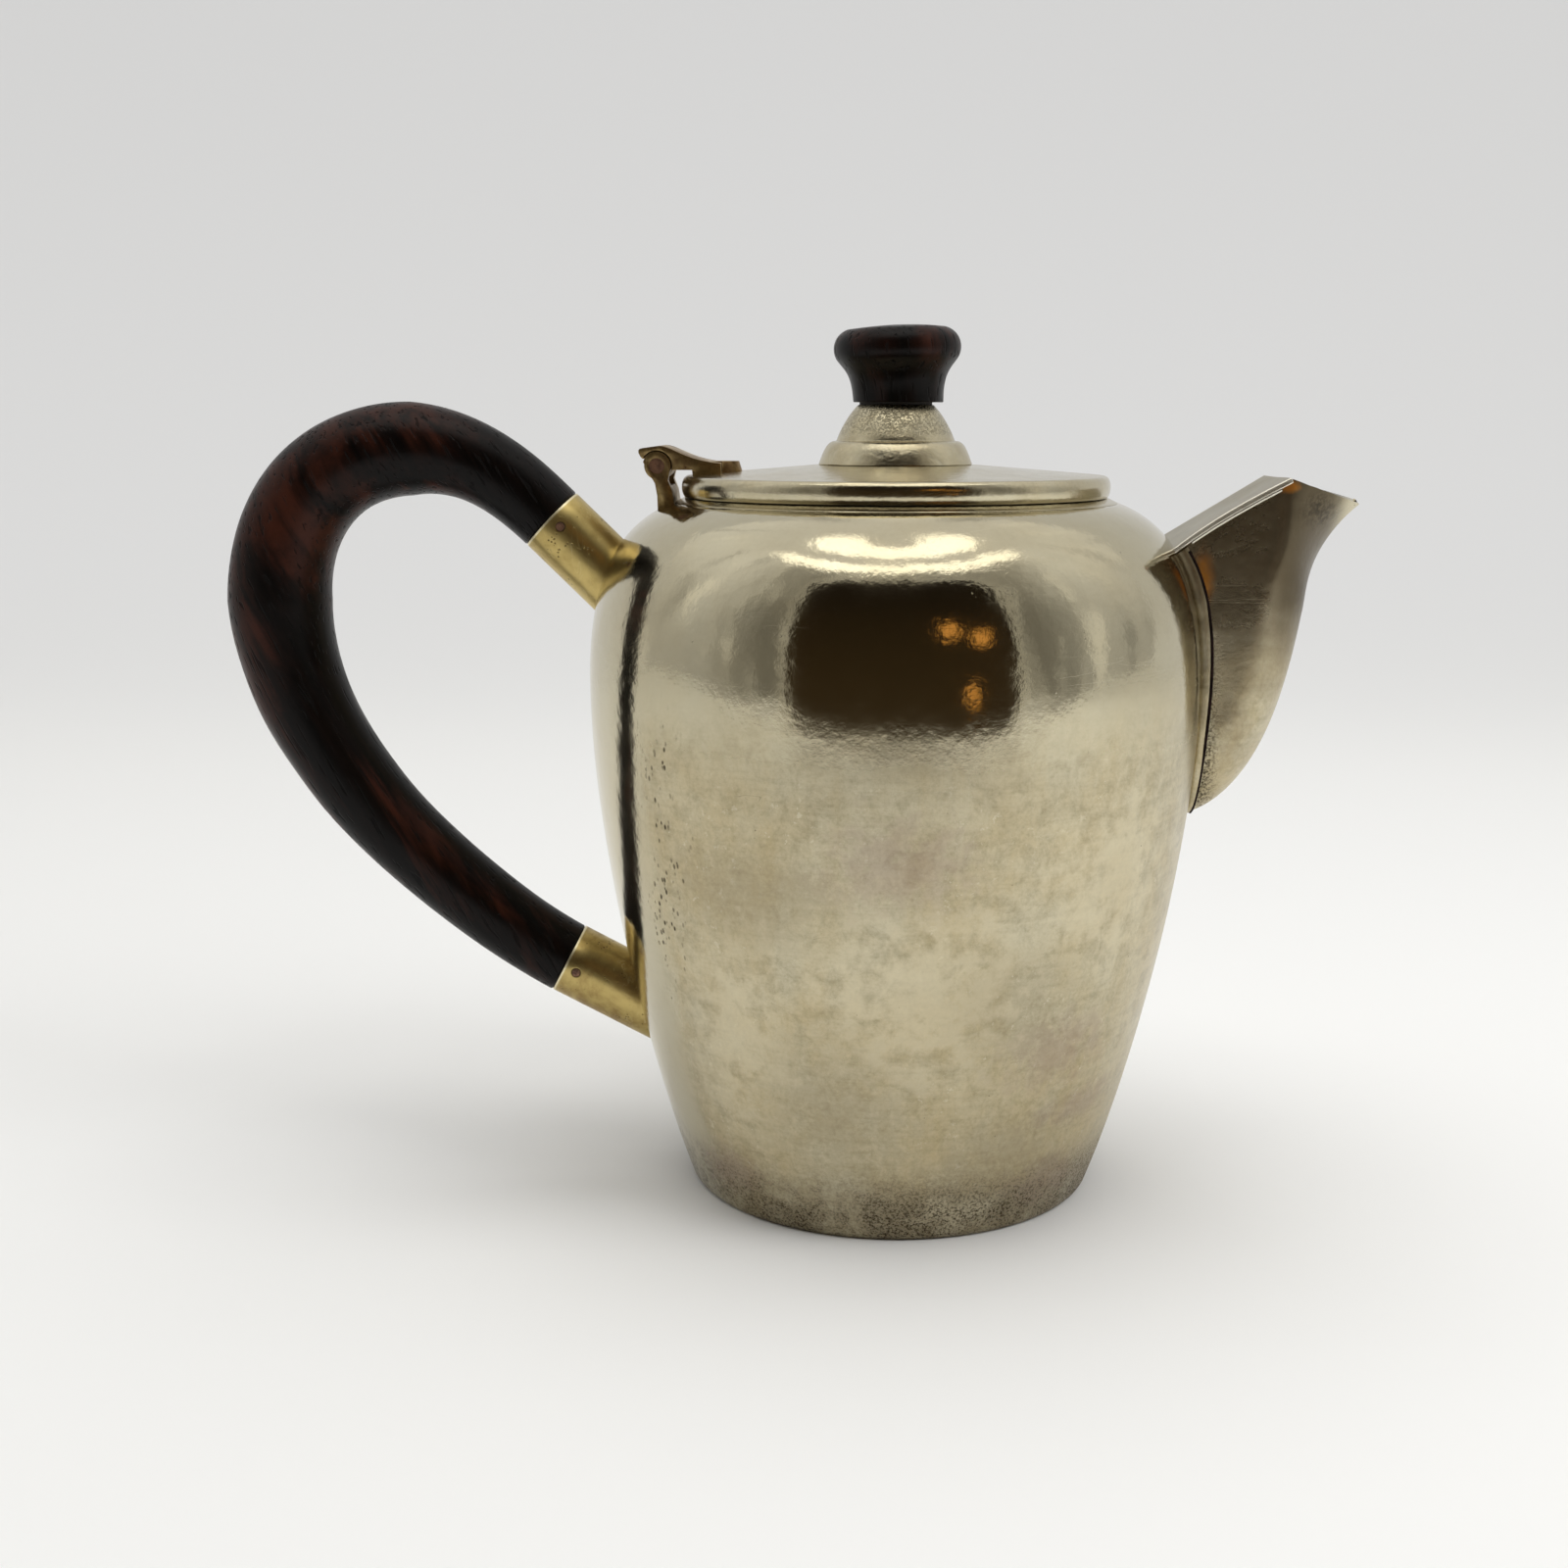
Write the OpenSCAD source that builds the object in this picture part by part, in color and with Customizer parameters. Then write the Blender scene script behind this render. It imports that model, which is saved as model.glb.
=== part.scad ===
// A small hinged-lid coffee pot: spun metal body, folded beak spout, wooden loop
// handle pinned into two brass sockets, and a lid with a turned wooden knob.
// Millimetres. +X is the pouring side, -X the handle side, +Z up.
// The origin is the centre of the underside.

/* [Body] */
// Radius at the widest line of the body
belly_r = 52; // [46:0.5:64]
// Height of the widest line above the table
belly_z = 88; // [76:0.5:92]
// Radius of the body at the table
foot_r = 34.9; // [28:0.1:42]
// Radius of the body at its top edge, just outside the lid
neck_r = 37.4; // [32:0.1:42]
// Height of the body's top edge
body_h = 118; // [108:0.5:142]
// Thickness of the body's sheet metal
wall = 1.2; // [0.8:0.1:2]
// Thickness of the base disc that the body is soldered to
base_t = 1; // [0.8:0.1:2]
// Width of the flat edge that the mouth ring is soldered on
seat_w = 4.7; // [3.5:0.1:6]
// Height of the mouth ring above the body's top edge
ring_up = 0.9; // [0.6:0.1:1.5]
// Thickness of the mouth ring where it lines the opening
ring_t = 0.9; // [0.7:0.1:1.4]

/* [Lid] */
// Step inwards from the body's top edge to the lid's rounded rim
lid_in = 1.4; // [1:0.1:2.2]
// Height of the lid's rim band
lid_rim_h = 3.3; // [2.6:0.1:5]
// Height that the lid's top rises from its edge to the middle
lid_rise = 1.8; // [0.6:0.1:4]
// Thickness of the lid's sheet metal
lid_t = 1; // [0.8:0.1:1.4]
// Depth that the lid's inner ring drops into the mouth
bezel_drop = 4; // [2.5:0.1:5]
// Thickness of the lid's inner ring
bezel_t = 0.9; // [0.7:0.1:1.2]
// Gap left round the lid's inner ring, so that it swings out freely
bezel_gap = 0.9; // [0.8:0.1:1.4]
// Gap between the closed lid and the ring that it closes over
seat_gap = 0.3; // [0.2:0.05:0.6]

/* [Finial and knob] */
// Radius of the finial's foot on the lid
finial_r = 13; // [11:0.1:16]
// Height of the finial's lower tier
tier_h = 3.9; // [3:0.1:6]
// Height of the finial's upper dome
dome_h = 6; // [4.5:0.1:9]
// Thickness of the finial's metal
finial_t = 1; // [0.7:0.1:1.3]
// Radius of the knob at its widest
knob_r = 10.65; // [8.8:0.05:14]
// Height of the wooden knob
knob_h = 12.7; // [10.5:0.1:18]
// Distance that the hand-turned knob sits off the stud's axis
knob_off = 0.4; // [0:0.1:0.8]
// Sideways lean of the hand-turned knob, in degrees
knob_lean = 1.6; // [0:0.1:3]
// Thickness of the fibre washer under the knob
washer_t = 0.4; // [0.3:0.1:1.2]
// Radius of the threaded stud
stud_r = 2; // [1.5:0.1:2.5]
// Height of the nut under the lid
nut_h = 3.2; // [2.4:0.1:4]
// Thickness of the steel washer over the nut
nut_washer_t = 0.8; // [0.5:0.1:1.2]

/* [Spout] */
// Width of the spout between its outer side walls
spout_w = 21; // [17:0.5:26]
// Distance of the pouring tip outside the body's widest line
tip_out = 26.1; // [22:0.1:34]
// Depth of the pouring tip below the body's top edge
tip_drop = 0.2; // [0:0.1:3]
// Distance from the front end of the roof plate to the tip
lip_l = 13.9; // [11:0.1:17]
// Height from the tip up to the front end of the roof plate
lip_h = 4.5; // [3:0.1:6]
// Distance from the hollow under the beak to the tip
beak_l = 9; // [6:0.1:12]
// Height from the hollow under the beak up to the tip
beak_h = 17.8; // [14:0.1:22]
// Height from the spout's root on the body up to the hollow under the beak
throat_h = 35.2; // [29:0.1:42]
// Slope of the roof plate, in degrees
roof_slope = 31.3; // [26:0.1:34]
// Thickness of the roof plate
roof_t = 0.9; // [0.7:0.1:1.2]
// Thickness of the spout's sheet metal
spout_t = 1.1; // [0.8:0.1:1.4]
// Radius of one strainer hole behind the spout
strainer_r = 1.5; // [1:0.1:1.9]

/* [Handle] */
// Outer radius of the brass socket at the shoulder
upper_socket_r = 6.1; // [5.1:0.1:7.4]
// Outer radius of the brass socket near the base
lower_socket_r = 6.3; // [5.2:0.1:7.6]
// Length of the upper socket's middle line, from its rim to the body
upper_socket_l = 12.9; // [10.5:0.1:16]
// Length of the lower socket's middle line, from its rim to the body
lower_socket_l = 14.7; // [12:0.1:18]
// Height at which the upper socket's middle line meets the body
upper_socket_z = 106; // [96:0.5:108]
// Height at which the lower socket's middle line meets the body
lower_socket_z = 30.8; // [25:0.1:40]
// Distance from the body's widest line to the middle of the handle's outermost bend
handle_out = 54; // [44:0.1:66]
// Distance from the body's widest line to the top of the handle's loop
loop_out = 30.2; // [26:0.1:38]
// Height of the handle's middle line above the body's top edge
handle_up = 8.9; // [4:0.1:16]
// Height from the outermost bend up to the top of the loop
bend_drop = 25.7; // [20:0.1:32]
// Radius of the wood at the top of the loop
handle_top_r = 7.85; // [6.5:0.05:9.5]
// Radius of the wood at its outermost bend
handle_back_r = 8.85; // [7:0.05:10.8]
// Thickness of the brass sockets
socket_t = 0.9; // [0.6:0.1:1.4]
// Length of the wooden tenons inside the sockets
tenon_l = 8; // [5:0.5:9]
// Radius of the pins through the sockets
socket_pin_r = 0.7; // [0.5:0.05:1]

/* [Hinge] */
// Width of the hinge across the lid
hinge_w = 13.5; // [11:0.1:18]
// Thickness of each ear of the bracket
ear_t = 2.3; // [1.6:0.1:3]
// Outer radius of the ears and of the leaf's knuckle
knuckle_r = 2.35; // [2.2:0.05:2.6]
// Radius of the hinge pin
hinge_pin_r = 1.3; // [0.8:0.05:1.6]
// Distance of the hinge pin outside the lid's rim
hinge_out = 3.8; // [3.6:0.1:4.6]
// Height of the hinge pin above the lid's top edge
hinge_up = 1.65; // [1.4:0.05:2.4]
// Length of the leaf's full-width part, from the pin's axis
leaf_l = 10.7; // [9:0.1:14]
// Radius of the leaf's rounded end
leaf_end_r = 3.1; // [2.4:0.1:4]
// Running clearance round the hinge pin
pin_gap = 0.05; // [0.02:0.01:0.1]
// Gap at each side of the leaf's knuckle, and round the ears
ear_gap = 0.25; // [0.2:0.05:0.35]

/* [Hidden] */
$fn = 96;

// Colours
nickel = [0.72, 0.69, 0.6];
brass = [0.75, 0.6, 0.3];
bronze = [0.5, 0.36, 0.2];
rosewood = [0.16, 0.07, 0.06];
fibre = [0.1, 0.09, 0.08];
steel = [0.45, 0.42, 0.4];

// Fits and margins
slip = 0.05;
tenon_gap = 0.05;
stud_gap = 0.1;
pin_head = 0.05;
over = 1;
eps = 0.01;
far = 200;

// Cubic curves: a point, its direction, and a run of points along it
function bez(p, t) =
    (1 - t)^3 * p[0] + 3 * (1 - t)^2 * t * p[1] + 3 * (1 - t) * t^2 * p[2] + t^3 * p[3];
function bez_dir(p, t) =
    let (d = (1 - t)^2 * (p[1] - p[0]) + 2 * (1 - t) * t * (p[2] - p[1]) + t^2 * (p[3] - p[2]))
    d / norm(d);
function run(p, n) = [for (i = [0 : n]) bez(p, i / n)];
// The same run moved sideways by d, to the left of its direction
function left_run(p, n, d) =
    [for (i = [0 : n]) let (v = bez_dir(p, i / n)) bez(p, i / n) + d * [-v[1], v[0]]];
// The share t at which a rising curve reaches the height z, by halving
function t_at(p, z, lo = 0, hi = 1, n = 24) = let (m = (lo + hi) / 2)
    n == 0 ? m : bez(p, m)[1] < z ? t_at(p, z, m, hi, n - 1) : t_at(p, z, lo, m, n - 1);
function mix(a, b, s) = a + (b - a) * s;
function soft(s) = let (u = max(0, min(1, s))) u * u * (3 - 2 * u);

// Body outline as radius and height: a long flank, then the shoulder
shoulder_h = body_h - belly_z;
flank = [[foot_r, 0], [mix(foot_r, belly_r, 0.43), 0.217 * belly_z],
         [belly_r, 0.678 * belly_z], [belly_r, belly_z]];
shoulder = [[belly_r, belly_z], [belly_r, belly_z + 0.66 * shoulder_h],
            [mix(neck_r, belly_r, 0.55), body_h - 3], [neck_r, body_h]];
// Radius of the hole in the body's underside, where the base disc's step sits
foot_hole_r = foot_r - 1.5;
flank_n = 20;
shoulder_n = 18;
function body_r(z) = z < belly_z ? bez(flank, t_at(flank, z))[0] : bez(shoulder, t_at(shoulder, z))[0];

// Mouth ring: a flange on the body's flat top edge, and a lining inside the opening
mouth_r = neck_r - seat_w;
ring_r = mouth_r - ring_t;
ring_drop = 5;
ring_top = body_h + ring_up;

// Heights up the lid, each standing on the one below
lid_r = neck_r - lid_in;
lid_foot_r = lid_r - 0.4;
lid_z = ring_top + seat_gap;
lid_edge_z = lid_z + lid_rim_h;
lid_edge_r = lid_r - 1.1;
lid_mid_z = lid_edge_z + lid_rise;
tier_z = lid_mid_z + tier_h;
dome_z = tier_z + dome_h;
knob_z = dome_z + washer_t;

// The lid's inner ring, and the flange that holds it inside the rim
bezel_r = ring_r - bezel_gap;
bezel_z = lid_z + 0.1;

// Finial
tier_r = finial_r - 2.9;
dome_r = finial_r - 6.7;
hollow_r = finial_r - 1.4;

// Stud and nut
nut_r = stud_r + 2.04;
nut_washer_r = stud_r + 2.5;
nut_z = lid_mid_z - lid_t - nut_washer_t - nut_h;
stud_bottom = nut_z - 1;
stud_top = knob_z + 0.64 * knob_h;

// Hinge: the pin's place, and the ears' and knuckle's widths
hinge_x = -(lid_r + hinge_out);
hinge_z = lid_edge_z + hinge_up;
ear_in = hinge_w / 2 - ear_t;
knuckle_w = 2 * (ear_in - ear_gap);
leaf_depth = 3.4;
pad_up = 0.7;
// The bracket's ears reach this far below the pin, into the shoulder
foot_depth = hinge_z - body_h + 4;
// The flat filed on the back of the ears: its distance from the pin, and its turn
ear_flat = 1.68;
// Depth of the pin's ends below the ears' faces
pin_sunk = 0.15;
ear_flat_turn = 28.4;

// Sockets: the way each bore points towards the body, and the middle of its rim
upper_turn = -44.4;
lower_turn = -27.5;
function heading(turn) = [cos(turn), sin(turn)];
function rim_at(z, length, turn) = [-body_r(z), z] - length * heading(turn);
upper_rim = rim_at(upper_socket_z, upper_socket_l, upper_turn);
lower_rim = rim_at(lower_socket_z, lower_socket_l, lower_turn);
socket_past = 12;
tenon_pin = 2.3;
upper_pin_up = 0.9;

// The handle's middle line: up from the shoulder, round the loop, down to the base
handle_x = belly_r + handle_out;
top_x = -(belly_r + loop_out);
handle_z = body_h + handle_up;
back_z = handle_z - bend_drop;
handle_curves = [
    [upper_rim, upper_rim - 12.5 * heading(upper_turn), [top_x + 7.9, handle_z], [top_x, handle_z]],
    [[top_x, handle_z], [top_x - 15, handle_z], [-handle_x, back_z + 13.7], [-handle_x, back_z]],
    [[-handle_x, back_z], [-handle_x, back_z - 33.6], lower_rim - 8 * heading(lower_turn), lower_rim]];
handle_n = 13;
handle_sides = 20;
// Radius of the wood along each of the three curves
function handle_r(k, t) = k == 0 ? mix(upper_socket_r, handle_top_r, t^1.5)
    : k == 1 ? mix(handle_top_r, handle_back_r, t)
    : mix(handle_back_r, lower_socket_r, 1 - (1 - t)^2);

// The spout's front edge as distance and height: belly, beak, and past the tip
tip_x = belly_r + tip_out;
tip_z = body_h - tip_drop;
roof_x = tip_x - lip_l;
roof_z = tip_z + lip_h;
keel_x = tip_x - beak_l;
keel_z = tip_z - beak_h;
root_z = keel_z - throat_h;
spout_foot = [body_r(root_z) + 0.5, root_z];
keel_belly = [spout_foot, [mix(spout_foot[0], keel_x, 0.72), root_z + 4.6],
              [keel_x - 1.8, keel_z - 10.5], [keel_x, keel_z]];
keel_beak = [[keel_x, keel_z], [keel_x + 0.6, keel_z + 3.1], [keel_x + 0.7, keel_z + 10.9], [tip_x, tip_z]];
keel_past = [tip_x + 7.6, tip_z + 6.4];
belly_n = 16;
beak_n = 9;
keel = concat(run(keel_belly, belly_n), [for (i = [1 : beak_n]) bez(keel_beak, i / beak_n)], [keel_past]);
spout_back = neck_r - 8;
nose_n = 6;
roof_over = 0.25;

// Strainer: rows of four and three holes, spaced over the spout's inner width
strainer_rows = 7;
strainer_edge = 1.3;
strainer_pitch = (spout_w - 2 * spout_t - 2 * strainer_r - 2 * strainer_edge) / 3;
strainer_z = keel_z - 24;

// A solid of revolution that fills the whole body, with d taken off all over
module body_solid(d = 0) {
    rotate_extrude()
        polygon(concat([[0, base_t + d]],
                       [[body_r(base_t) - d, base_t + d]],
                       [for (p = left_run(flank, flank_n, d)) if (p[1] > base_t + d + eps) p],
                       [for (p = left_run(shoulder, shoulder_n, d))
                           if (p[1] > belly_z + eps && p[1] < body_h - d - eps) p],
                       [[neck_r - (d > 0 ? 2.2 * d : 0), body_h - d], [0, body_h - d]]));
}

// Rows of strainer holes through the wall behind the spout
module strainer_holes() {
    for (row = [0 : strainer_rows - 1]) {
        holes = 4 - row % 2;
        for (col = [0 : holes - 1])
            translate([neck_r, (col - (holes - 1) / 2) * strainer_pitch,
                       strainer_z + row * 0.95 * strainer_pitch])
                rotate([0, 90, 0])
                    cylinder(r = strainer_r, h = belly_r);
    }
}

module body_shell() {
    color(nickel)
    difference() {
        body_solid();
        body_solid(wall);
        translate([0, 0, base_t - over])
            cylinder(r = foot_hole_r, h = wall + 2 * over);
        translate([0, 0, body_h - wall - over])
            cylinder(r = mouth_r, h = wall + 2 * over);
        strainer_holes();
    }
}

// The base disc, with a low step that centres the body on it
module base_plate() {
    step_r = foot_hole_r - slip;
    edge = body_r(base_t);
    color(nickel)
    rotate_extrude()
        polygon(concat([[0, 0]],
                       run([[foot_r - 0.9, 0], [foot_r - 0.3, 0], [foot_r, 0.3], [edge, base_t]], 6),
                       [[step_r, base_t], [step_r, base_t + wall], [0, base_t + wall]]));
}

// The ring that lines the mouth; its flange carries on the slope of the shoulder
module mouth_ring() {
    color(nickel)
    rotate_extrude()
        polygon([[ring_r, body_h - ring_drop], [mouth_r, body_h - ring_drop], [mouth_r, body_h],
                 [neck_r, body_h], [lid_foot_r, ring_top], [ring_r, ring_top]]);
}

// One level slice of the spout: straight sides, then a nose that is round low
// down and pointed at the lip; d is taken off all round
function nose_start(z, x) = mix(x - 9.8, roof_x, soft((z - keel_z + 2) / 20));
function spout_slice(x, z, d) =
    let (low = max(0, min(1, (z - root_z) / 18)),
         w = max(0.6, spout_w / 2 * sqrt(1 - (1 - low)^2) - d),
         point = soft((z - keel_z) / 15),
         front = x - d * (1 + 0.8 * point),
         start = min(nose_start(z, x), front - 2),
         side = [for (i = [0 : nose_n]) let (s = 1 - (1 - i / nose_n)^1.5)
                     [mix(start, front, s), w * (1 - s^mix(2, 1.3, point))^mix(0.5, 1, point)]])
    concat([[spout_back, -w, z]], [for (p = side) [p[0], -p[1], z]],
           [for (i = [nose_n - 1 : -1 : 0]) [side[i][0], side[i][1], z]], [[spout_back, w, z]]);

// The spout as a filled solid, skinned over its slices
module spout_solid(d = 0) {
    slices = [for (p = keel) if (p[1] > root_z + d + 0.3) spout_slice(p[0], p[1], d)];
    m = len(slices[0]);
    n = len(slices);
    polyhedron(points = [for (s = slices) each s],
               faces = concat([[for (j = [0 : m - 1]) j]],
                              [for (i = [0 : n - 2], j = [0 : m - 1])
                                  let (a = i * m + j, b = i * m + (j + 1) % m)
                                  each [[a, b + m, b], [a, a + m, b + m]]],
                              [[for (j = [m - 1 : -1 : 0]) (n - 1) * m + j]]),
               convexity = 4);
}

// The side view of what is kept under the lip and under a roof plate d thick
module under_roof(d) {
    back_drop = d / cos(roof_slope) + (roof_x - spout_back) * tan(roof_slope);
    rotate([90, 0, 0])
        linear_extrude(height = far, center = true)
            polygon([[spout_back, 0], [far, 0], [far, roof_z - (far - roof_x) * lip_h / lip_l],
                     [roof_x, roof_z], [roof_x + d * sin(roof_slope), roof_z - d * cos(roof_slope)],
                     [spout_back, roof_z - back_drop]]);
}

module spout_shell() {
    color(nickel)
    difference() {
        intersection() {
            spout_solid();
            under_roof(roof_t);
        }
        spout_solid(spout_t);
        body_solid();
    }
}

// The flat roof plate, soldered along the tops of the spout's sides
module spout_cover() {
    color(nickel)
    difference() {
        translate([roof_x, 0, roof_z])
            rotate([0, -roof_slope, 0])
                translate([-belly_r, -spout_w / 2 - roof_over, -roof_t])
                    cube([belly_r, spout_w + 2 * roof_over, roof_t]);
        body_solid();
        translate([-far, -far / 2, 0])
            cube([far + neck_r, far, far]);
    }
}

// Puts a child whose +Z runs along a socket's bore at that socket's rim
module at_socket(rim, turn) {
    translate([rim[0], 0, rim[1]])
        rotate([0, 90 - turn, 0])
            children();
}

// The cross pin of a socket, or with a larger r the hole for it
module socket_pin(rim, turn, up, r, half) {
    at = rim + tenon_pin * heading(turn) + up * heading(turn + 90);
    translate([at[0], 0, at[1]])
        rotate([90, 0, 0])
            cylinder(r = r, h = 2 * half, center = true);
}

// A brass tube that takes the handle's tenon and is soldered to the body
module socket(rim, turn, up, r, length) {
    color(brass)
    difference() {
        at_socket(rim, turn)
            cylinder(r = r, h = length + socket_past);
        at_socket(rim, turn)
            translate([0, 0, -over])
                cylinder(r = r - socket_t, h = length + socket_past + 2 * over);
        socket_pin(rim, turn, up, socket_pin_r, r + over);
        body_solid();
    }
}

module upper_socket() {
    socket(upper_rim, upper_turn, upper_pin_up, upper_socket_r, upper_socket_l);
}

module lower_socket() {
    socket(lower_rim, lower_turn, 0, lower_socket_r, lower_socket_l);
}

module upper_socket_pin() {
    color(steel)
    socket_pin(upper_rim, upper_turn, upper_pin_up, socket_pin_r, upper_socket_r + pin_head);
}

module lower_socket_pin() {
    color(steel)
    socket_pin(lower_rim, lower_turn, 0, socket_pin_r, lower_socket_r + pin_head);
}

// The loop of wood: round rings swept along the middle line
module handle_loop() {
    stations = [for (k = [0 : 2], i = [(k == 0 ? 0 : 1) : handle_n]) [k, i / handle_n]];
    rings = [for (s = stations)
        let (curve = handle_curves[s[0]], c = bez(curve, s[1]), v = bez_dir(curve, s[1]),
             r = handle_r(s[0], s[1]))
        [for (j = [0 : handle_sides - 1])
            let (a = 360 * j / handle_sides, out = r * cos(a))
            [c[0] - out * v[1], r * sin(a), c[1] + out * v[0]]]];
    m = handle_sides;
    n = len(rings);
    polyhedron(points = [for (ring = rings) each ring],
               faces = concat([[for (j = [m - 1 : -1 : 0]) j]],
                              [for (i = [0 : n - 2], j = [0 : m - 1])
                                  let (a = i * m + j, b = i * m + (j + 1) % m)
                                  each [[a, b, b + m], [a, b + m, a + m]]],
                              [[for (j = [0 : m - 1]) (n - 1) * m + j]]),
               convexity = 6);
}

module handle() {
    color(rosewood)
    difference() {
        union() {
            handle_loop();
            at_socket(upper_rim, upper_turn)
                translate([0, 0, -over])
                    cylinder(r = upper_socket_r - socket_t - tenon_gap, h = tenon_l + over);
            at_socket(lower_rim, lower_turn)
                translate([0, 0, -over])
                    cylinder(r = lower_socket_r - socket_t - tenon_gap, h = tenon_l + over);
        }
        socket_pin(upper_rim, upper_turn, upper_pin_up, socket_pin_r, far / 4);
        socket_pin(lower_rim, lower_turn, 0, socket_pin_r, far / 4);
    }
}

// Everything of the hinge is drawn as a side view about the pin, then given its width
module across(w) {
    translate([hinge_x, 0, hinge_z])
        rotate([90, 0, 0])
            linear_extrude(height = w, center = true)
                children();
}

// The same side view at both ears; with a gap, wider and open to the outside
module in_ears(gap = 0) {
    w = gap > 0 ? ear_t + gap + far : ear_t;
    for (side = [-1, 1])
        translate([0, side * (ear_in - gap + w / 2), 0])
            across(w)
                children();
}

// Two ears standing on the shoulder, joined by a web between them
module hinge_bracket() {
    color(bronze)
    difference() {
        union() {
            in_ears() {
                circle(r = knuckle_r);
                polygon([[0, 0], [-1.87, 0], [-0.31, -2.9], [0.05, -4.9], [0.2, -foot_depth],
                         [3.2, -foot_depth], [2.8, -6], [2.5, -4.1], [1.8, -2.3], [2.2, -0.6]]);
            }
            across(2 * ear_in + over)
                polygon([[0.5, -foot_depth], [0.5, -knuckle_r - 1.4], [0.9, -knuckle_r - 0.9],
                         [2.1, -knuckle_r - 0.9], [2.5, -4.1], [2.8, -6], [3.2, -foot_depth]]);
        }
        across(hinge_w + 2 * over)
            rotate(ear_flat_turn)
                translate([-ear_flat - knuckle_r, -knuckle_r - eps])
                    square([knuckle_r, 4 * knuckle_r]);
        body_solid();
        mouth_ring();
        across(hinge_w + 2 * over)
            circle(r = hinge_pin_r);
    }
}

module hinge_pin() {
    color(steel)
    across(hinge_w - 2 * pin_sunk)
        circle(r = hinge_pin_r);
}

// The lid's solid outer form, filled down to the rim
module lid_solid() {
    rotate_extrude()
        polygon(concat([[0, lid_z]], lid_edge_run(0), [[finial_r, lid_mid_z], [0, lid_mid_z]]));
}

function lid_rim_curve() = [[lid_foot_r, lid_z], [lid_r + 0.35, lid_z + 0.25 * lid_rim_h],
                            [lid_r + 0.25, lid_edge_z], [lid_edge_r, lid_edge_z]];
function lid_edge_run(d) = left_run(lid_rim_curve(), 10, d);

// The leaf: a tail behind the pin, an arch over the ears and a tongue on the lid
module hinge_leaf() {
    tail = run([[-2.2, 1], [-3.2, 2], [-3.4, 2.9], [-2.3, 2.95]], 5);
    arch = run([[0.3, 3.3], [2.6, 3.35], [4.4, 0.95], [leaf_l, 0.45]], 10);
    color(bronze)
    difference() {
        union() {
            difference() {
                across(hinge_w)
                    polygon(concat([[0, 0]], tail, arch,
                                   [[leaf_l, -leaf_depth], [6.2, -leaf_depth], [5.9, -0.65], [2.2, -0.65]]));
                in_ears(ear_gap)
                    circle(r = knuckle_r + ear_gap);
            }
            across(knuckle_w)
                circle(r = knuckle_r);
            // The rounded end of the tongue, with sloping sides
            translate([hinge_x + leaf_l - 1.5, -leaf_end_r, hinge_z - leaf_depth])
                cube([1.5, 2 * leaf_end_r, leaf_depth + pad_up]);
            translate([hinge_x + leaf_l, 0, hinge_z - leaf_depth])
                cylinder(r1 = leaf_end_r + 0.9, r2 = leaf_end_r - 0.4, h = leaf_depth + pad_up);
        }
        lid_solid();
        across(hinge_w + 2 * over)
            circle(r = hinge_pin_r + pin_gap);
    }
}

module lid_shell() {
    color(nickel)
    difference() {
        lid_solid();
        rotate_extrude()
            polygon(concat([[0, lid_z - over], [lid_foot_r - lid_t, lid_z - over]], lid_edge_run(lid_t),
                           [[finial_r, lid_mid_z - lid_t], [0, lid_mid_z - lid_t]]));
        cylinder(r = stud_r + stud_gap, h = far);
    }
}

// The inner ring that drops into the mouth, on a flange that closes the rim
module lid_bezel() {
    flange_r = lid_foot_r - lid_t - slip;
    inner_r = bezel_r - bezel_t;
    color(nickel)
    rotate_extrude()
        polygon([[inner_r, lid_z - bezel_drop], [bezel_r, lid_z - bezel_drop], [bezel_r, bezel_z],
                 [flange_r, bezel_z], [flange_r, bezel_z + bezel_t], [inner_r, bezel_z + bezel_t]]);
}

// The two-tier bell under the knob, hollow inside
module finial_base() {
    tier = [[finial_r, lid_mid_z], [finial_r - 0.8, lid_mid_z + 0.55 * tier_h],
            [finial_r - 1.4, tier_z], [tier_r + 0.1, tier_z]];
    dome = [[tier_r - 0.1, tier_z], [tier_r - 0.9, tier_z + 0.36 * dome_h],
            [dome_r + 1.5, tier_z + 0.77 * dome_h], [dome_r, dome_z]];
    color(nickel)
    difference() {
        rotate_extrude()
            polygon(concat([[0, lid_mid_z]], run(tier, 8), run(dome, 8), [[0, dome_z]]));
        rotate_extrude()
            polygon([[0, lid_mid_z - over], [hollow_r, lid_mid_z - over], [hollow_r, lid_mid_z + 0.6],
                     [tier_r + 0.3 - finial_t, tier_z - finial_t], [tier_r - 0.3 - finial_t, tier_z],
                     [dome_r - 0.4, dome_z - finial_t], [0, dome_z - finial_t]]);
        cylinder(r = stud_r + stud_gap, h = far);
    }
}

module knob_washer() {
    color(fibre)
    translate([0, 0, dome_z])
        difference() {
            cylinder(r = dome_r - 0.2, h = washer_t);
            translate([0, 0, -over])
                cylinder(r = stud_r + stud_gap, h = washer_t + 2 * over);
        }
}

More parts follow.
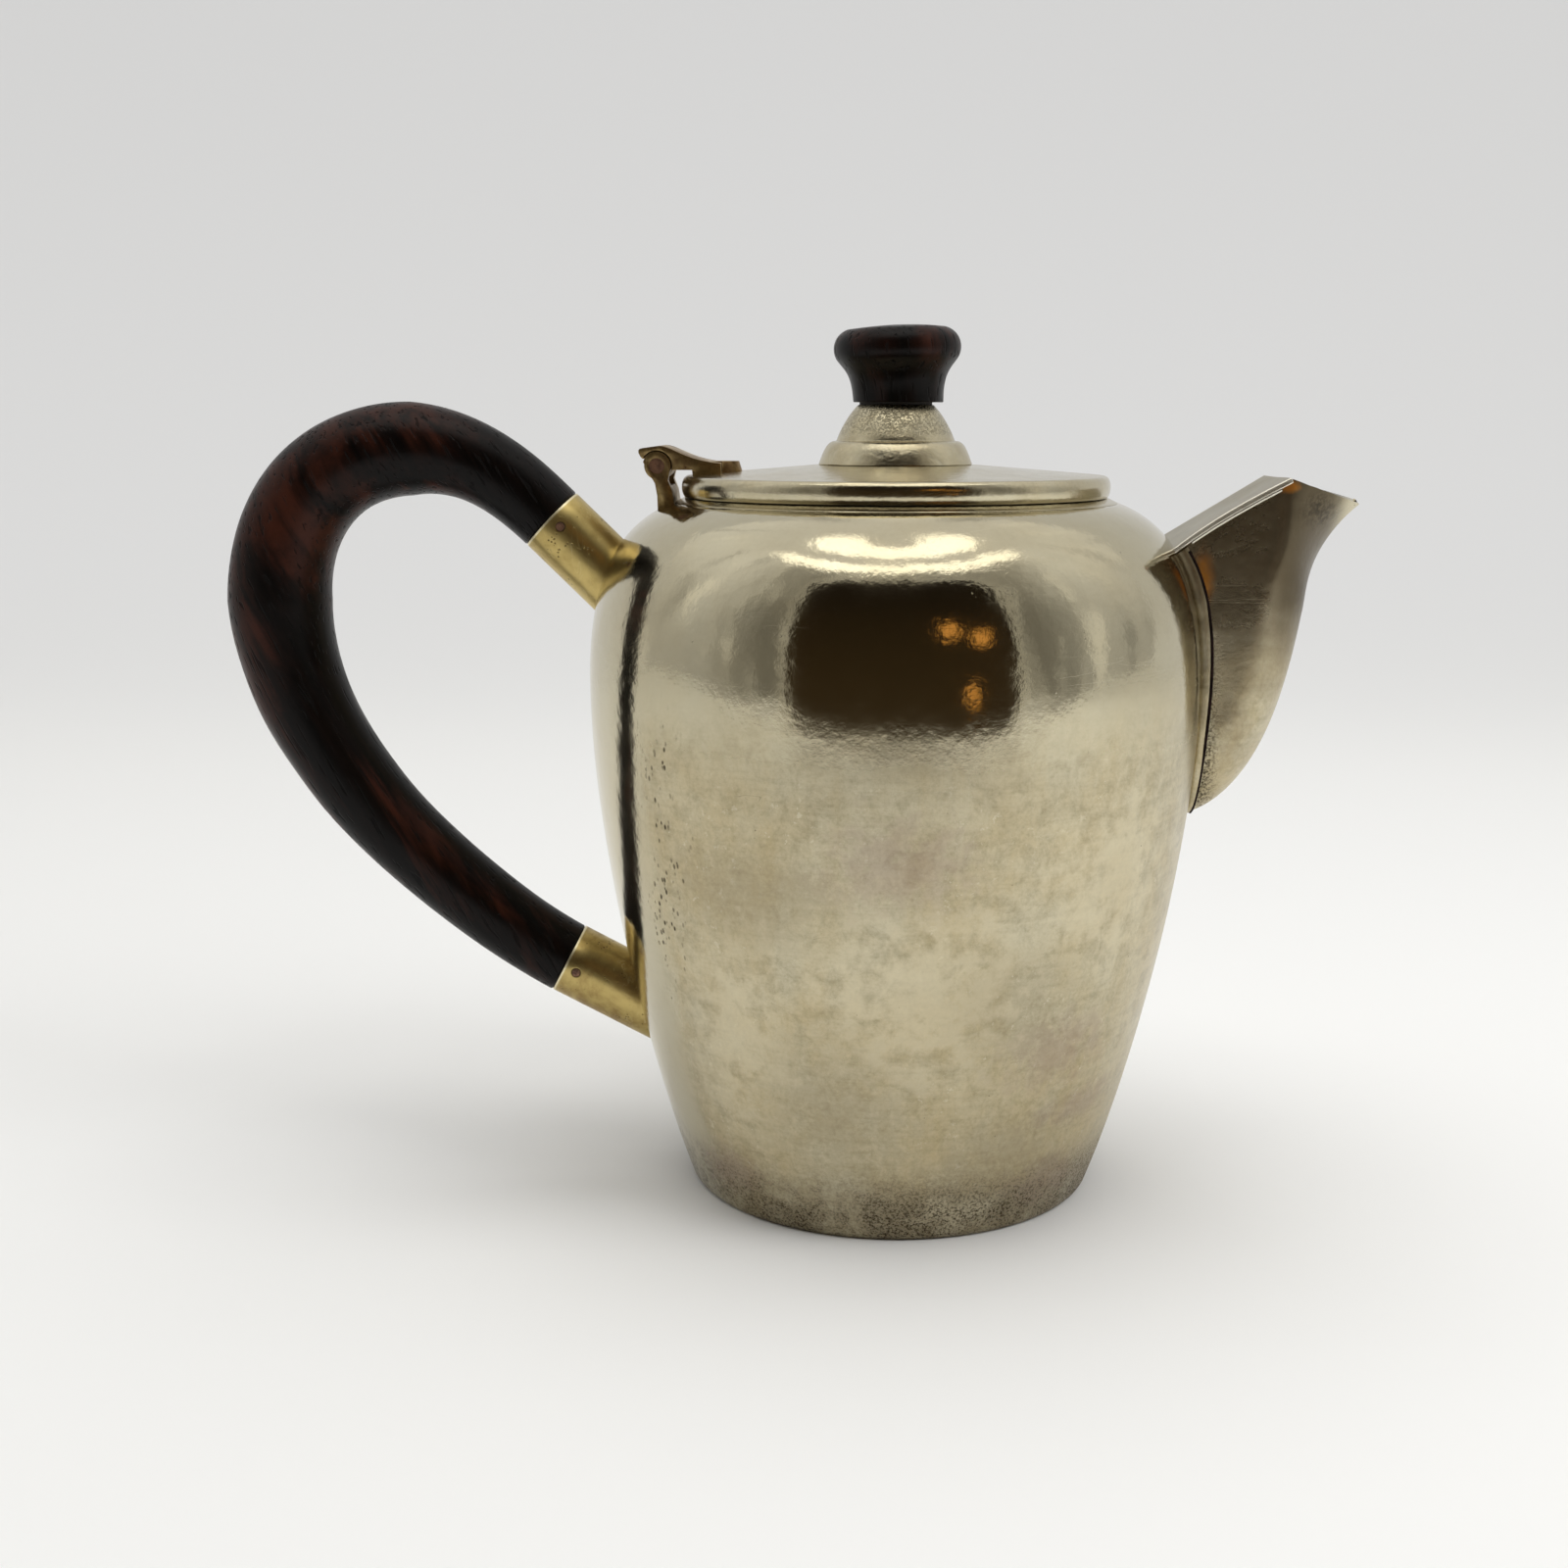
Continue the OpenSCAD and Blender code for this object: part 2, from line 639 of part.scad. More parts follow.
// The turned knob leans a little on its stud, and its foot is cut level
module knob() {
    waist = [[knob_r - 3.1, -0.6], [knob_r - 3.05, 0.33 * knob_h],
             [knob_r - 2.1, 0.4 * knob_h], [knob_r - 0.7, 0.54 * knob_h]];
    head = [[knob_r - 0.7, 0.54 * knob_h], [knob_r + 0.5, 0.66 * knob_h],
            [knob_r + 0.2, 0.88 * knob_h], [knob_r - 2.4, 0.955 * knob_h]];
    crown = [[knob_r - 2.4, 0.955 * knob_h], [knob_r - 5, 0.985 * knob_h], [2, knob_h], [0, knob_h]];
    color(rosewood)
    difference() {
        translate([knob_off, 0, knob_z])
            rotate([0, -knob_lean, 0])
                rotate_extrude()
                    polygon(concat([[0, -0.6]], run(waist, 8), [for (i = [1 : 10]) bez(head, i / 10)],
                                   [for (i = [1 : 6]) bez(crown, i / 6)]));
        translate([0, 0, knob_z - over])
            cylinder(r = 2 * knob_r, h = over);
        cylinder(r = stud_r, h = stud_top);
    }
}

module knob_stud() {
    color(steel)
    translate([0, 0, stud_bottom])
        cylinder(r = stud_r, h = stud_top - stud_bottom);
}

module nut_washer() {
    color(steel)
    translate([0, 0, nut_z + nut_h])
        difference() {
            cylinder(r = nut_washer_r, h = nut_washer_t);
            translate([0, 0, -over])
                cylinder(r = stud_r + stud_gap, h = nut_washer_t + 2 * over);
        }
}

module knob_nut() {
    color(steel)
    translate([0, 0, nut_z])
        difference() {
            cylinder(r = nut_r, h = nut_h, $fn = 6);
            translate([0, 0, -over])
                cylinder(r = stud_r, h = nut_h + 2 * over);
        }
}

body_shell();
base_plate();
mouth_ring();
spout_shell();
spout_cover();
upper_socket();
lower_socket();
handle();
upper_socket_pin();
lower_socket_pin();
hinge_bracket();
hinge_pin();
hinge_leaf();
lid_shell();
lid_bezel();
finial_base();
knob_washer();
knob();
knob_stud();
nut_washer();
knob_nut();
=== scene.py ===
# %% [markdown]
# # A small coffee pot in worn nickel silver
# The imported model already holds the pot's pieces, its sizes and the lid's hinge. This
# lesson builds the looks around it: spun shells, a folded spout, a carved handle and the
# finishes of old metal and wood. Everything is in metres, in the frame of the pot, whose
# origin is the middle of the underside, with +X towards the spout.
# %% Load the frame
import math
from contextlib import contextmanager
from functools import reduce

import bpy
from mathutils import Matrix, Vector, noise


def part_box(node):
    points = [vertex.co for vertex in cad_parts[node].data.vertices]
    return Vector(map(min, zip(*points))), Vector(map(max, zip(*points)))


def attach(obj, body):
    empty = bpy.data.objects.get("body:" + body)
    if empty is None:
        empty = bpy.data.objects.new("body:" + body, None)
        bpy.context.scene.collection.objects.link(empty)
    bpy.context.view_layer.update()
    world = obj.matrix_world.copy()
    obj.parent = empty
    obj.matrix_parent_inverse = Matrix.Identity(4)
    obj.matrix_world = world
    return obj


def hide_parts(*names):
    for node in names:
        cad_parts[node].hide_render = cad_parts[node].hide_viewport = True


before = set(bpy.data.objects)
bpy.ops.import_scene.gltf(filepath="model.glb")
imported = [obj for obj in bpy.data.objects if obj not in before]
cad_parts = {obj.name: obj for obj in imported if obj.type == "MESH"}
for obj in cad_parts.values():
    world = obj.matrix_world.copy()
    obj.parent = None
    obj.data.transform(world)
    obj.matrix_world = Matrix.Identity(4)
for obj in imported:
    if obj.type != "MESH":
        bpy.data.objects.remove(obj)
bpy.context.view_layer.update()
MM = 0.001

# %% [markdown]
# The camera stands at table height a third of a metre away and looks slightly down, a
# little to the handle's side of square on. It is made first, because every look is
# judged through it.
# %% Camera
camera = bpy.data.objects.new("camera", bpy.data.cameras.new("camera"))
bpy.context.scene.collection.objects.link(camera)
camera.data.lens = 45
camera.data.sensor_width = 36
camera.data.clip_start = 0.01
look_down, look_left = 10.61, 2
camera.location = (-0.00708, -0.33605, 0.1322)
camera.rotation_euler = (math.radians(90 - look_down), 0, math.radians(look_left))
bpy.context.scene.camera = camera
bpy.context.scene.view_settings.view_transform = "Standard"

# %% [markdown]
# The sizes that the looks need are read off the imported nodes. Only what a box can't tell,
# such as the sheet's thickness and where the belly is widest, is given as a number.
# %% Sizes from the frame
def low_high(name):
    """A node's lowest and highest corners in millimetres."""
    low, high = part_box(name)
    return low / MM, high / MM


belly_r, body_h = low_high("body_shell")[1].yz
ring_low = low_high("mouth_ring")[0].z
neck_r, ring_top = low_high("mouth_ring")[1].yz
lid_z, lid_mid_z = (corner.z for corner in low_high("lid_shell"))
bezel_z = low_high("lid_bezel")[0].z
finial_r, dome_z = low_high("finial_base")[1].yz
knob_z = low_high("knob")[0].z
knob_h = low_high("knob")[1].z - knob_z
stud_r, stud_top = low_high("knob_stud")[1].yz
spout_w = 2 * low_high("spout_shell")[1].y
tip_x = low_high("spout_shell")[1].x
half_roof = low_high("spout_cover")[1].y
wall = 1.2
base_t = 1
belly_z = 88
foot_r = 34.9
print(f"body {belly_r:.1f} x {body_h:.1f}, lid from {lid_z:.1f} to {lid_mid_z:.1f}, knob {knob_h:.1f}")


# %% [markdown]
# A shape such as the swell of the body is a cubic curve with two ends and two handles. The
# flank rises from the foot to the belly, and the shoulder goes on from there to the neck.
# %% Cubic curves
def mix(a, b, share):
    return a + (b - a) * share


def clamped(share):
    return max(0, min(1, share))


def soft(share):
    share = clamped(share)
    return share * share * (3 - 2 * share)


def on_curve(curve, t):
    a, b, c, d = (Vector(p) for p in curve)
    return (1 - t) ** 3 * a + 3 * (1 - t) ** 2 * t * b + 3 * (1 - t) * t * t * c + t ** 3 * d


def along_curve(curve, t):
    a, b, c, d = (Vector(p) for p in curve)
    return ((1 - t) ** 2 * (b - a) + 2 * (1 - t) * t * (c - b) + t * t * (d - c)).normalized()


def run(curve, steps, inward=0):
    """Points along a curve in radius and height, moved sideways into the metal by inward."""
    points = []
    for i in range(steps + 1):
        way = along_curve(curve, i / steps)
        points.append(on_curve(curve, i / steps) + inward * Vector((-way.y, way.x)))
    return points


def halved(is_low, low, high, steps):
    """Closes in on the place where is_low stops being true, by halving the gap."""
    for _ in range(steps):
        middle = (low + high) / 2
        low, high = (middle, high) if is_low(middle) else (low, middle)
    return (low + high) / 2


def share_at(curve, height):
    """The share along a rising curve at which it reaches a height."""
    return halved(lambda share: on_curve(curve, share).y < height, 0.0, 1.0, 30)


shoulder_h = body_h - belly_z
flank = [(foot_r, 0), (mix(foot_r, belly_r, 0.43), 0.217 * belly_z), (belly_r, 0.678 * belly_z), (belly_r, belly_z)]
shoulder = [(belly_r, belly_z), (belly_r, belly_z + 0.66 * shoulder_h),
            (mix(neck_r, belly_r, 0.55), body_h - 3), (neck_r, body_h)]


def body_r(z):
    curve = flank if z < belly_z else shoulder
    return on_curve(curve, share_at(curve, z)).x


print("body radius at 30, 66 and 110 mm:", [round(body_r(z), 2) for z in (30, 66, 110)])


# %% [markdown]
# Modelling by hand in Blender means: add a primitive, go into edit mode, select, and use
# a tool. The helpers below keep that order, so each piece later reads as a few steps.
# An outline is a circle primitive whose points are moved to where the shape needs them.
# %% Modelling helpers
def only(piece):
    """Makes one piece the selected and active one, in object mode."""
    if bpy.context.object and bpy.context.object.mode != "OBJECT":
        bpy.ops.object.mode_set(mode="OBJECT")
    bpy.ops.object.select_all(action="DESELECT")
    if piece:
        piece.select_set(True)
        bpy.context.view_layer.objects.active = piece


@contextmanager
def editing(piece, select="SELECT"):
    """Edit mode on one piece, with all of it selected, none of it, or as it was."""
    only(piece)
    bpy.ops.object.mode_set(mode="EDIT")
    if select:
        bpy.ops.mesh.select_all(action=select)
    yield
    bpy.ops.object.mode_set(mode="OBJECT")


def named(name):
    """Names the primitive that was just added, and gives it."""
    piece = bpy.context.active_object
    piece.name = piece.data.name = name
    return piece


def outline(name, points, closed=True):
    """A ring of points in millimetres, or with closed off, a line of them."""
    only(None)
    bpy.ops.mesh.primitive_circle_add(vertices=len(points), radius=MM)
    piece = named(name)
    for vertex, point in zip(piece.data.vertices, points):
        vertex.co = Vector(point) * MM
    if not closed:
        with editing(piece, "DESELECT"):
            bpy.ops.mesh.select_mode(type="EDGE")
        for edge in piece.data.edges:
            edge.select = set(edge.vertices) == {0, len(points) - 1}
        with editing(piece, None):
            bpy.ops.mesh.delete(type="EDGE")
            bpy.ops.mesh.select_mode(type="VERT")
    return piece


def tidy(piece, angle=32):
    """Merges doubled points, turns faces outwards and shades smooth up to an angle."""
    with editing(piece):
        bpy.ops.mesh.remove_doubles(threshold=0.002 * MM)
        bpy.ops.mesh.normals_make_consistent(inside=False)
    bpy.ops.object.shade_smooth_by_angle(angle=math.radians(angle))
    return piece


def turned(name, profile, closed=True, steps=192):
    """Spins a profile of radius and height round the pot's axis, as on a lathe."""
    piece = outline(name, [(p[0], 0, p[1]) for p in profile], closed)
    with editing(piece):
        bpy.ops.mesh.spin(steps=steps, angle=math.tau, center=(0, 0, 0), axis=(0, 0, 1))
    return tidy(piece)


def modified(piece, kind, **settings):
    """Adds one modifier with its settings and applies it."""
    only(piece)
    modifier = piece.modifiers.new(kind.lower(), kind)
    for key, value in settings.items():
        setattr(modifier, key, value)
    bpy.ops.object.modifier_apply(modifier=modifier.name)
    return piece


def thickened(piece, thickness):
    """Gives a sheet its thickness, on the side away from its normals."""
    return modified(piece, "SOLIDIFY", thickness=thickness * MM, offset=-1, use_even_offset=True)


def rounded(piece, width, angle=35):
    """Breaks the sharp edges, as wear and polishing do."""
    modified(piece, "BEVEL", width=width * MM, segments=2, limit_method="ANGLE", angle_limit=math.radians(angle))
    only(piece)
    bpy.ops.object.shade_smooth_by_angle(angle=math.radians(angle))
    return piece


def cut_by(piece, cutter):
    """Takes the cutter's volume out of the piece, and removes the cutter."""
    modified(piece, "BOOLEAN", object=cutter, operation="DIFFERENCE", solver="EXACT")
    bpy.data.objects.remove(cutter)
    return piece


def hand_made(piece, height, size):
    """Moves every point a hair along its normal, so that nothing is perfectly true."""
    shifts = [height * MM * noise.noise(v.co / (size * MM)) * v.normal for v in piece.data.vertices]
    for vertex, shift in zip(piece.data.vertices, shifts):
        vertex.co += shift
    return piece


def joined(pieces):
    """Makes one piece of several, and keeps the first one's name."""
    only(pieces[0])
    for piece in pieces:
        piece.select_set(True)
    bpy.ops.object.join()
    return pieces[0]


def swept(name, places, radii, resolution, angle, twist=None):
    """A round rod along places in millimetres, with its own radius at each of them."""
    only(None)
    bpy.ops.curve.primitive_bezier_curve_add()
    rod = named(name)
    rod.data.splines.clear()
    spline = rod.data.splines.new("POLY")
    spline.points.add(len(places) - 1)
    for point, place, radius in zip(spline.points, places, radii):
        point.co = (*(Vector(place) * MM), 1)
        point.radius = radius
    rod.data.dimensions = "3D"
    if twist:
        rod.data.twist_mode = twist
    rod.data.bevel_depth = MM
    rod.data.bevel_resolution = resolution
    rod.data.use_fill_caps = True
    rod.location = (0, 0, 0)
    bpy.ops.object.convert(target="MESH")
    return tidy(bpy.context.active_object, angle)


finished = []


def finish_piece(piece, body, slot, material, *nodes):
    """Gives a piece its material, lets it ride, and hides what it replaces; slot is not used."""
    piece.data.materials.clear()
    piece.data.materials.append(material)
    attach(piece, body)
    if nodes:
        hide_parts(*nodes)
    finished.append(piece.name)
    print(f"{piece.name}: {len(piece.data.vertices)} points, rides on {body}")


# %% [markdown]
# ## Finishes
# Old metal is never one colour: it has clouds of tarnish, pits, stains and rubbed marks.
# Each of these effects is a node group that puts out a mask, so one group serves the
# body, the spout, the brass and the wood with other values. The patterns read Object
# coordinates, which every piece shares with the pot, so they never slide. The helpers add
# their nodes to the one tree that is open, which new_group and new_material change.
# %% Node helpers
FLOAT, VECTOR, COLOUR = "NodeSocketFloat", "NodeSocketVector", "NodeSocketColor"
tree = None


def feed(socket, value):
    """Links a socket to another, or sets it to a value."""
    if isinstance(value, bpy.types.NodeSocket):
        tree.links.new(value, socket)
    elif value is not None:
        socket.default_value = value


def calc(operation, a, b=None, c=None, clamp=False):
    step = tree.nodes.new("ShaderNodeMath")
    step.operation = operation
    step.use_clamp = clamp
    for socket, value in zip(step.inputs, (a, b, c)):
        feed(socket, value)
    return step.outputs[0]


def times(*factors):
    return reduce(lambda a, b: calc("MULTIPLY", a, b), factors)


def most(*masks):
    return reduce(lambda a, b: calc("MAXIMUM", a, b), masks)


def times_plus(a, b, c, clamp=False):
    return calc("MULTIPLY_ADD", a, b, c, clamp)


def plus(a, b):
    return calc("ADD", a, b)


def minus(a, b):
    return calc("SUBTRACT", a, b)


def inverse(mask):
    return minus(1.0, mask)


def vector_calc(operation, a, b=None):
    step = tree.nodes.new("ShaderNodeVectorMath")
    step.operation = operation
    feed(step.inputs[0], a)
    feed(step.inputs[1], b)
    return step.outputs["Value" if operation in ("LENGTH", "DOT_PRODUCT") else "Vector"]


def remap(value, low, high, to_low=0.0, to_high=1.0):
    """A soft step from one value at low to another at high; low may be above high."""
    step = tree.nodes.new("ShaderNodeMapRange")
    step.interpolation_type = "SMOOTHSTEP"
    for name, number in (("Value", value), ("From Min", low), ("From Max", high),
                         ("To Min", to_low), ("To Max", to_high)):
        feed(step.inputs[name], number)
    return step.outputs["Result"]


def clouds(vector, scale, detail=4.0, rough=0.55, distort=0.0):
    step = tree.nodes.new("ShaderNodeTexNoise")
    for name, value in (("Vector", vector), ("Scale", scale), ("Detail", detail), ("Roughness", rough),
                        ("Distortion", distort)):
        feed(step.inputs[name], value)
    return step.outputs["Fac"]


def blend_colour(share, a, b):
    step = tree.nodes.new("ShaderNodeMix")
    step.data_type = "RGBA"
    feed(step.inputs[0], share)
    for socket, colour in ((step.inputs[6], a), (step.inputs[7], b)):
        feed(socket, colour if isinstance(colour, bpy.types.NodeSocket) else (*colour, 1))
    return step.outputs[2]


def separate(vector):
    step = tree.nodes.new("ShaderNodeSeparateXYZ")
    feed(step.inputs[0], vector)
    return step.outputs


def combine(x, y, z):
    step = tree.nodes.new("ShaderNodeCombineXYZ")
    for socket, value in zip(step.inputs, (x, y, z)):
        feed(socket, value)
    return step.outputs[0]


def mapped(vector, scale=(1, 1, 1), turn=(0, 0, 0)):
    step = tree.nodes.new("ShaderNodeMapping")
    feed(step.inputs["Vector"], vector)
    step.inputs["Rotation"].default_value = [math.radians(a) for a in turn]
    step.inputs["Scale"].default_value = scale
    return step.outputs[0]


def new_group(name, inputs, *outputs):
    """Opens a node group with named sockets; gives it, its inputs and its outputs."""
    global tree
    tree = bpy.data.node_groups.new(name, "ShaderNodeTree")
    for label, kind, value in (("Vector", VECTOR, None), *inputs):
        socket = tree.interface.new_socket(name=label, in_out="INPUT", socket_type=kind)
        if value is not None:
            socket.default_value = value
    for label, kind in outputs or (("Mask", FLOAT),):
        tree.interface.new_socket(name=label, in_out="OUTPUT", socket_type=kind)
    print("group:", name)
    return tree, tree.nodes.new("NodeGroupInput").outputs, tree.nodes.new("NodeGroupOutput").inputs


def use(group, vector, **values):
    """Places a group; spaces in socket names are written as underscores."""
    step = tree.nodes.new("ShaderNodeGroup")
    step.node_tree = group
    feed(step.inputs["Vector"], vector)
    for label, value in values.items():
        feed(step.inputs[label.replace("_", " ")], value)
    return step.outputs if len(step.outputs) > 1 else step.outputs[0]


# %% [markdown]
# Tarnish comes in clouds. Two noises of different size are added, and the edge of the
# cloud is made soft or hard by the softness. A cover of 1 is all cloud and 0 is none.
# %% Tarnish clouds
def level_for(cover):
    """The level of a noise above which about that share of it lies."""
    return times_plus(inverse(cover), 0.5, 0.25)


tarnish, start, end = new_group("tarnish clouds", [("Size mm", FLOAT, 20), ("Cover", FLOAT, 0.5),
                                                   ("Softness", FLOAT, 0.15)])
scale = calc("DIVIDE", 1000.0, start["Size mm"])
large = clouds(start["Vector"], scale, 5, 0.6, 0.6)
small = clouds(start["Vector"], times(scale, 4.3), 6, 0.65, 0.2)
both = plus(times(large, 0.68), times(small, 0.32))
level = level_for(start["Cover"])
feed(end["Mask"], remap(both, minus(level, start["Softness"]), plus(level, start["Softness"])))

# %% [markdown]
# Corrosion pits are small round holes that sit in clusters. A Voronoi texture gives the
# holes, and a noise decides where they gather.
# %% Pits
pits, start, end = new_group("corrosion pits", [("Spacing mm", FLOAT, 1.5), ("Radius", FLOAT, 0.2),
                                                ("Cover", FLOAT, 0.3)])
cells = tree.nodes.new("ShaderNodeTexVoronoi")
feed(cells.inputs["Vector"], start["Vector"])
feed(cells.inputs["Scale"], calc("DIVIDE", 1000.0, start["Spacing mm"]))
holes = inverse(remap(cells.outputs["Distance"], times(start["Radius"], 0.55), start["Radius"]))
gather = clouds(start["Vector"], calc("DIVIDE", 160.0, start["Spacing mm"]), 2)
level = level_for(start["Cover"])
feed(end["Mask"], times(holes, remap(gather, level, plus(level, 0.06))))

# %% [markdown]
# A scratch is a long thin line. A noise stretched along one way has long thin contour
# lines, and only the parts where a second noise is high are kept.
# %% Scratches
scratches, start, end = new_group("fine scratches", [("Size mm", FLOAT, 5), ("Width", FLOAT, 0.01),
                                                     ("Cover", FLOAT, 0.4)])
scale = calc("DIVIDE", 1000.0, start["Size mm"])
line = calc("ABSOLUTE", minus(clouds(start["Vector"], scale, 2, 0.5), 0.5))
line = inverse(remap(line, 0.0, start["Width"]))
keep = clouds(start["Vector"], times(scale, 0.37), 2)
level = level_for(start["Cover"])
feed(end["Mask"], times(line, remap(keep, level, plus(level, 0.05))))

# %% [markdown]
# Some marks sit in one place only, such as a stain by the seam. A patch is a soft
# ellipsoid with a ragged edge, given by its middle and its half sizes.
# %% One patch
patch, start, end = new_group("one patch", [("Middle", VECTOR, (0, 0, 0)), ("Half size", VECTOR, (0.01, 0.01, 0.01)),
                                            ("Ragged", FLOAT, 0.35)])
away = vector_calc("DIVIDE", vector_calc("SUBTRACT", start["Vector"], start["Middle"]), start["Half size"])
ragged = times(minus(clouds(start["Vector"], 260, 5, 0.65), 0.5), start["Ragged"])
reach = plus(vector_calc("LENGTH", away), times(ragged, 4.0))
feed(end["Mask"], inverse(remap(reach, 0.15, 1.25)))

# %% [markdown]
# Spinning and rubbing leave marks that run round the pot. For them the place is given as
# the way round, in metres along the skin, and the height. The join lies behind the handle.
# %% Round the pot
around, start, end = new_group("round the pot", [], ("Vector", VECTOR))
x, y, z = separate(start["Vector"])
feed(end["Vector"], combine(times(calc("ARCTAN2", y, x), 0.05), z, 0.0))

# %% [markdown]
# Rosewood is nearly black, with warm red and brown bands and short open pores that all
# run one way. The group gives the colour, the pores and the bands.
# %% Wood grain
grain, start, end = new_group("rosewood grain", [("Warmth", FLOAT, 1.0), ("Extra", FLOAT, 0.0)],
                              ("Colour", COLOUR), ("Pores", FLOAT), ("Bands", FLOAT))
bands = clouds(mapped(start["Vector"], (1, 1, 0.11)), 190, 5, 0.6, 0.4)
broad = clouds(mapped(start["Vector"], (1, 1, 0.25)), 45, 3, 0.5, 0.3)
fine = clouds(mapped(start["Vector"], (1, 1, 0.04)), 900, 4, 0.7)
pores = clouds(mapped(start["Vector"], (1, 1, 0.09)), 1500, 1, 0.5)
warm = times(remap(bands, 0.47, 0.7), remap(broad, 0.4, 0.66))
extra = times(start["Extra"], remap(bands, 0.36, 0.62))
colour = blend_colour(remap(fine, 0.35, 0.75), (0.0018, 0.0014, 0.0012), (0.006, 0.0034, 0.0028))
feed(end["Colour"], blend_colour(times(most(warm, extra), start["Warmth"]), colour, (0.062, 0.018, 0.01)))
feed(end["Pores"], remap(pores, 0.6, 0.69))
feed(end["Bands"], bands)


# %% [markdown]
# Each material starts the same way: a Principled shader and the Object coordinates. It
# ends the same way too: colour, roughness, and a bump whose height is in real millimetres.
# %% Material helpers
def new_material(name):
    """Opens a new material's tree; gives the material, its shader and the place."""
    global tree
    material = bpy.data.materials.new(name)
    material.use_nodes = True
    tree = material.node_tree
    return material, tree.nodes["Principled BSDF"], tree.nodes.new("ShaderNodeTexCoord").outputs["Object"]


def painted(shader, colour, rough, relief, depth_mm, metallic=0.0):
    feed(shader.inputs["Base Color"], colour)
    feed(shader.inputs["Roughness"], rough)
    shader.inputs["Metallic"].default_value = metallic
    bump = tree.nodes.new("ShaderNodeBump")
    bump.inputs["Strength"].default_value = 1.0
    bump.inputs["Distance"].default_value = depth_mm * MM
    feed(bump.inputs["Height"], relief)
    feed(shader.inputs["Normal"], bump.outputs["Normal"])


def at(place, middle, half, ragged):
    """The mask of one patch, its middle and half sizes in millimetres."""
    return use(patch, place, Middle=Vector(middle) * MM, Half_size=Vector(half) * MM, Ragged=ragged)


def spots(amount, *patches):
    """A mask maker for several patches, each a middle, half sizes and raggedness."""
    return lambda place: times(most(*(at(place, *spot) for spot in patches)), amount)


def from_axis(x, y):
    return calc("SQRT", plus(times(x, x), times(y, y)))


# %% [markdown]
# Nickel silver is a white copper alloy that yellows as it ages. Rubbed places stay bright
# and mirror-like, and sheltered ones turn yellow, dull and blotchy. One function makes
# every nickel finish of the pot, with the marks of that one piece passed in.
# %% Nickel silver
CLEAN = (0.6, 0.55, 0.4)
AGED = (0.545, 0.45, 0.265)
DIRT = (0.05, 0.035, 0.02)
SCRATCHED = (0.8, 0.77, 0.66)
DULLED = (0.22, 0.18, 0.1)
PALE_FLECK = (0.74, 0.69, 0.53)
# The colour of a painted highlight along an edge.
PAINTED_EDGE_HIGHLIGHT = (0.86, 0.83, 0.72)


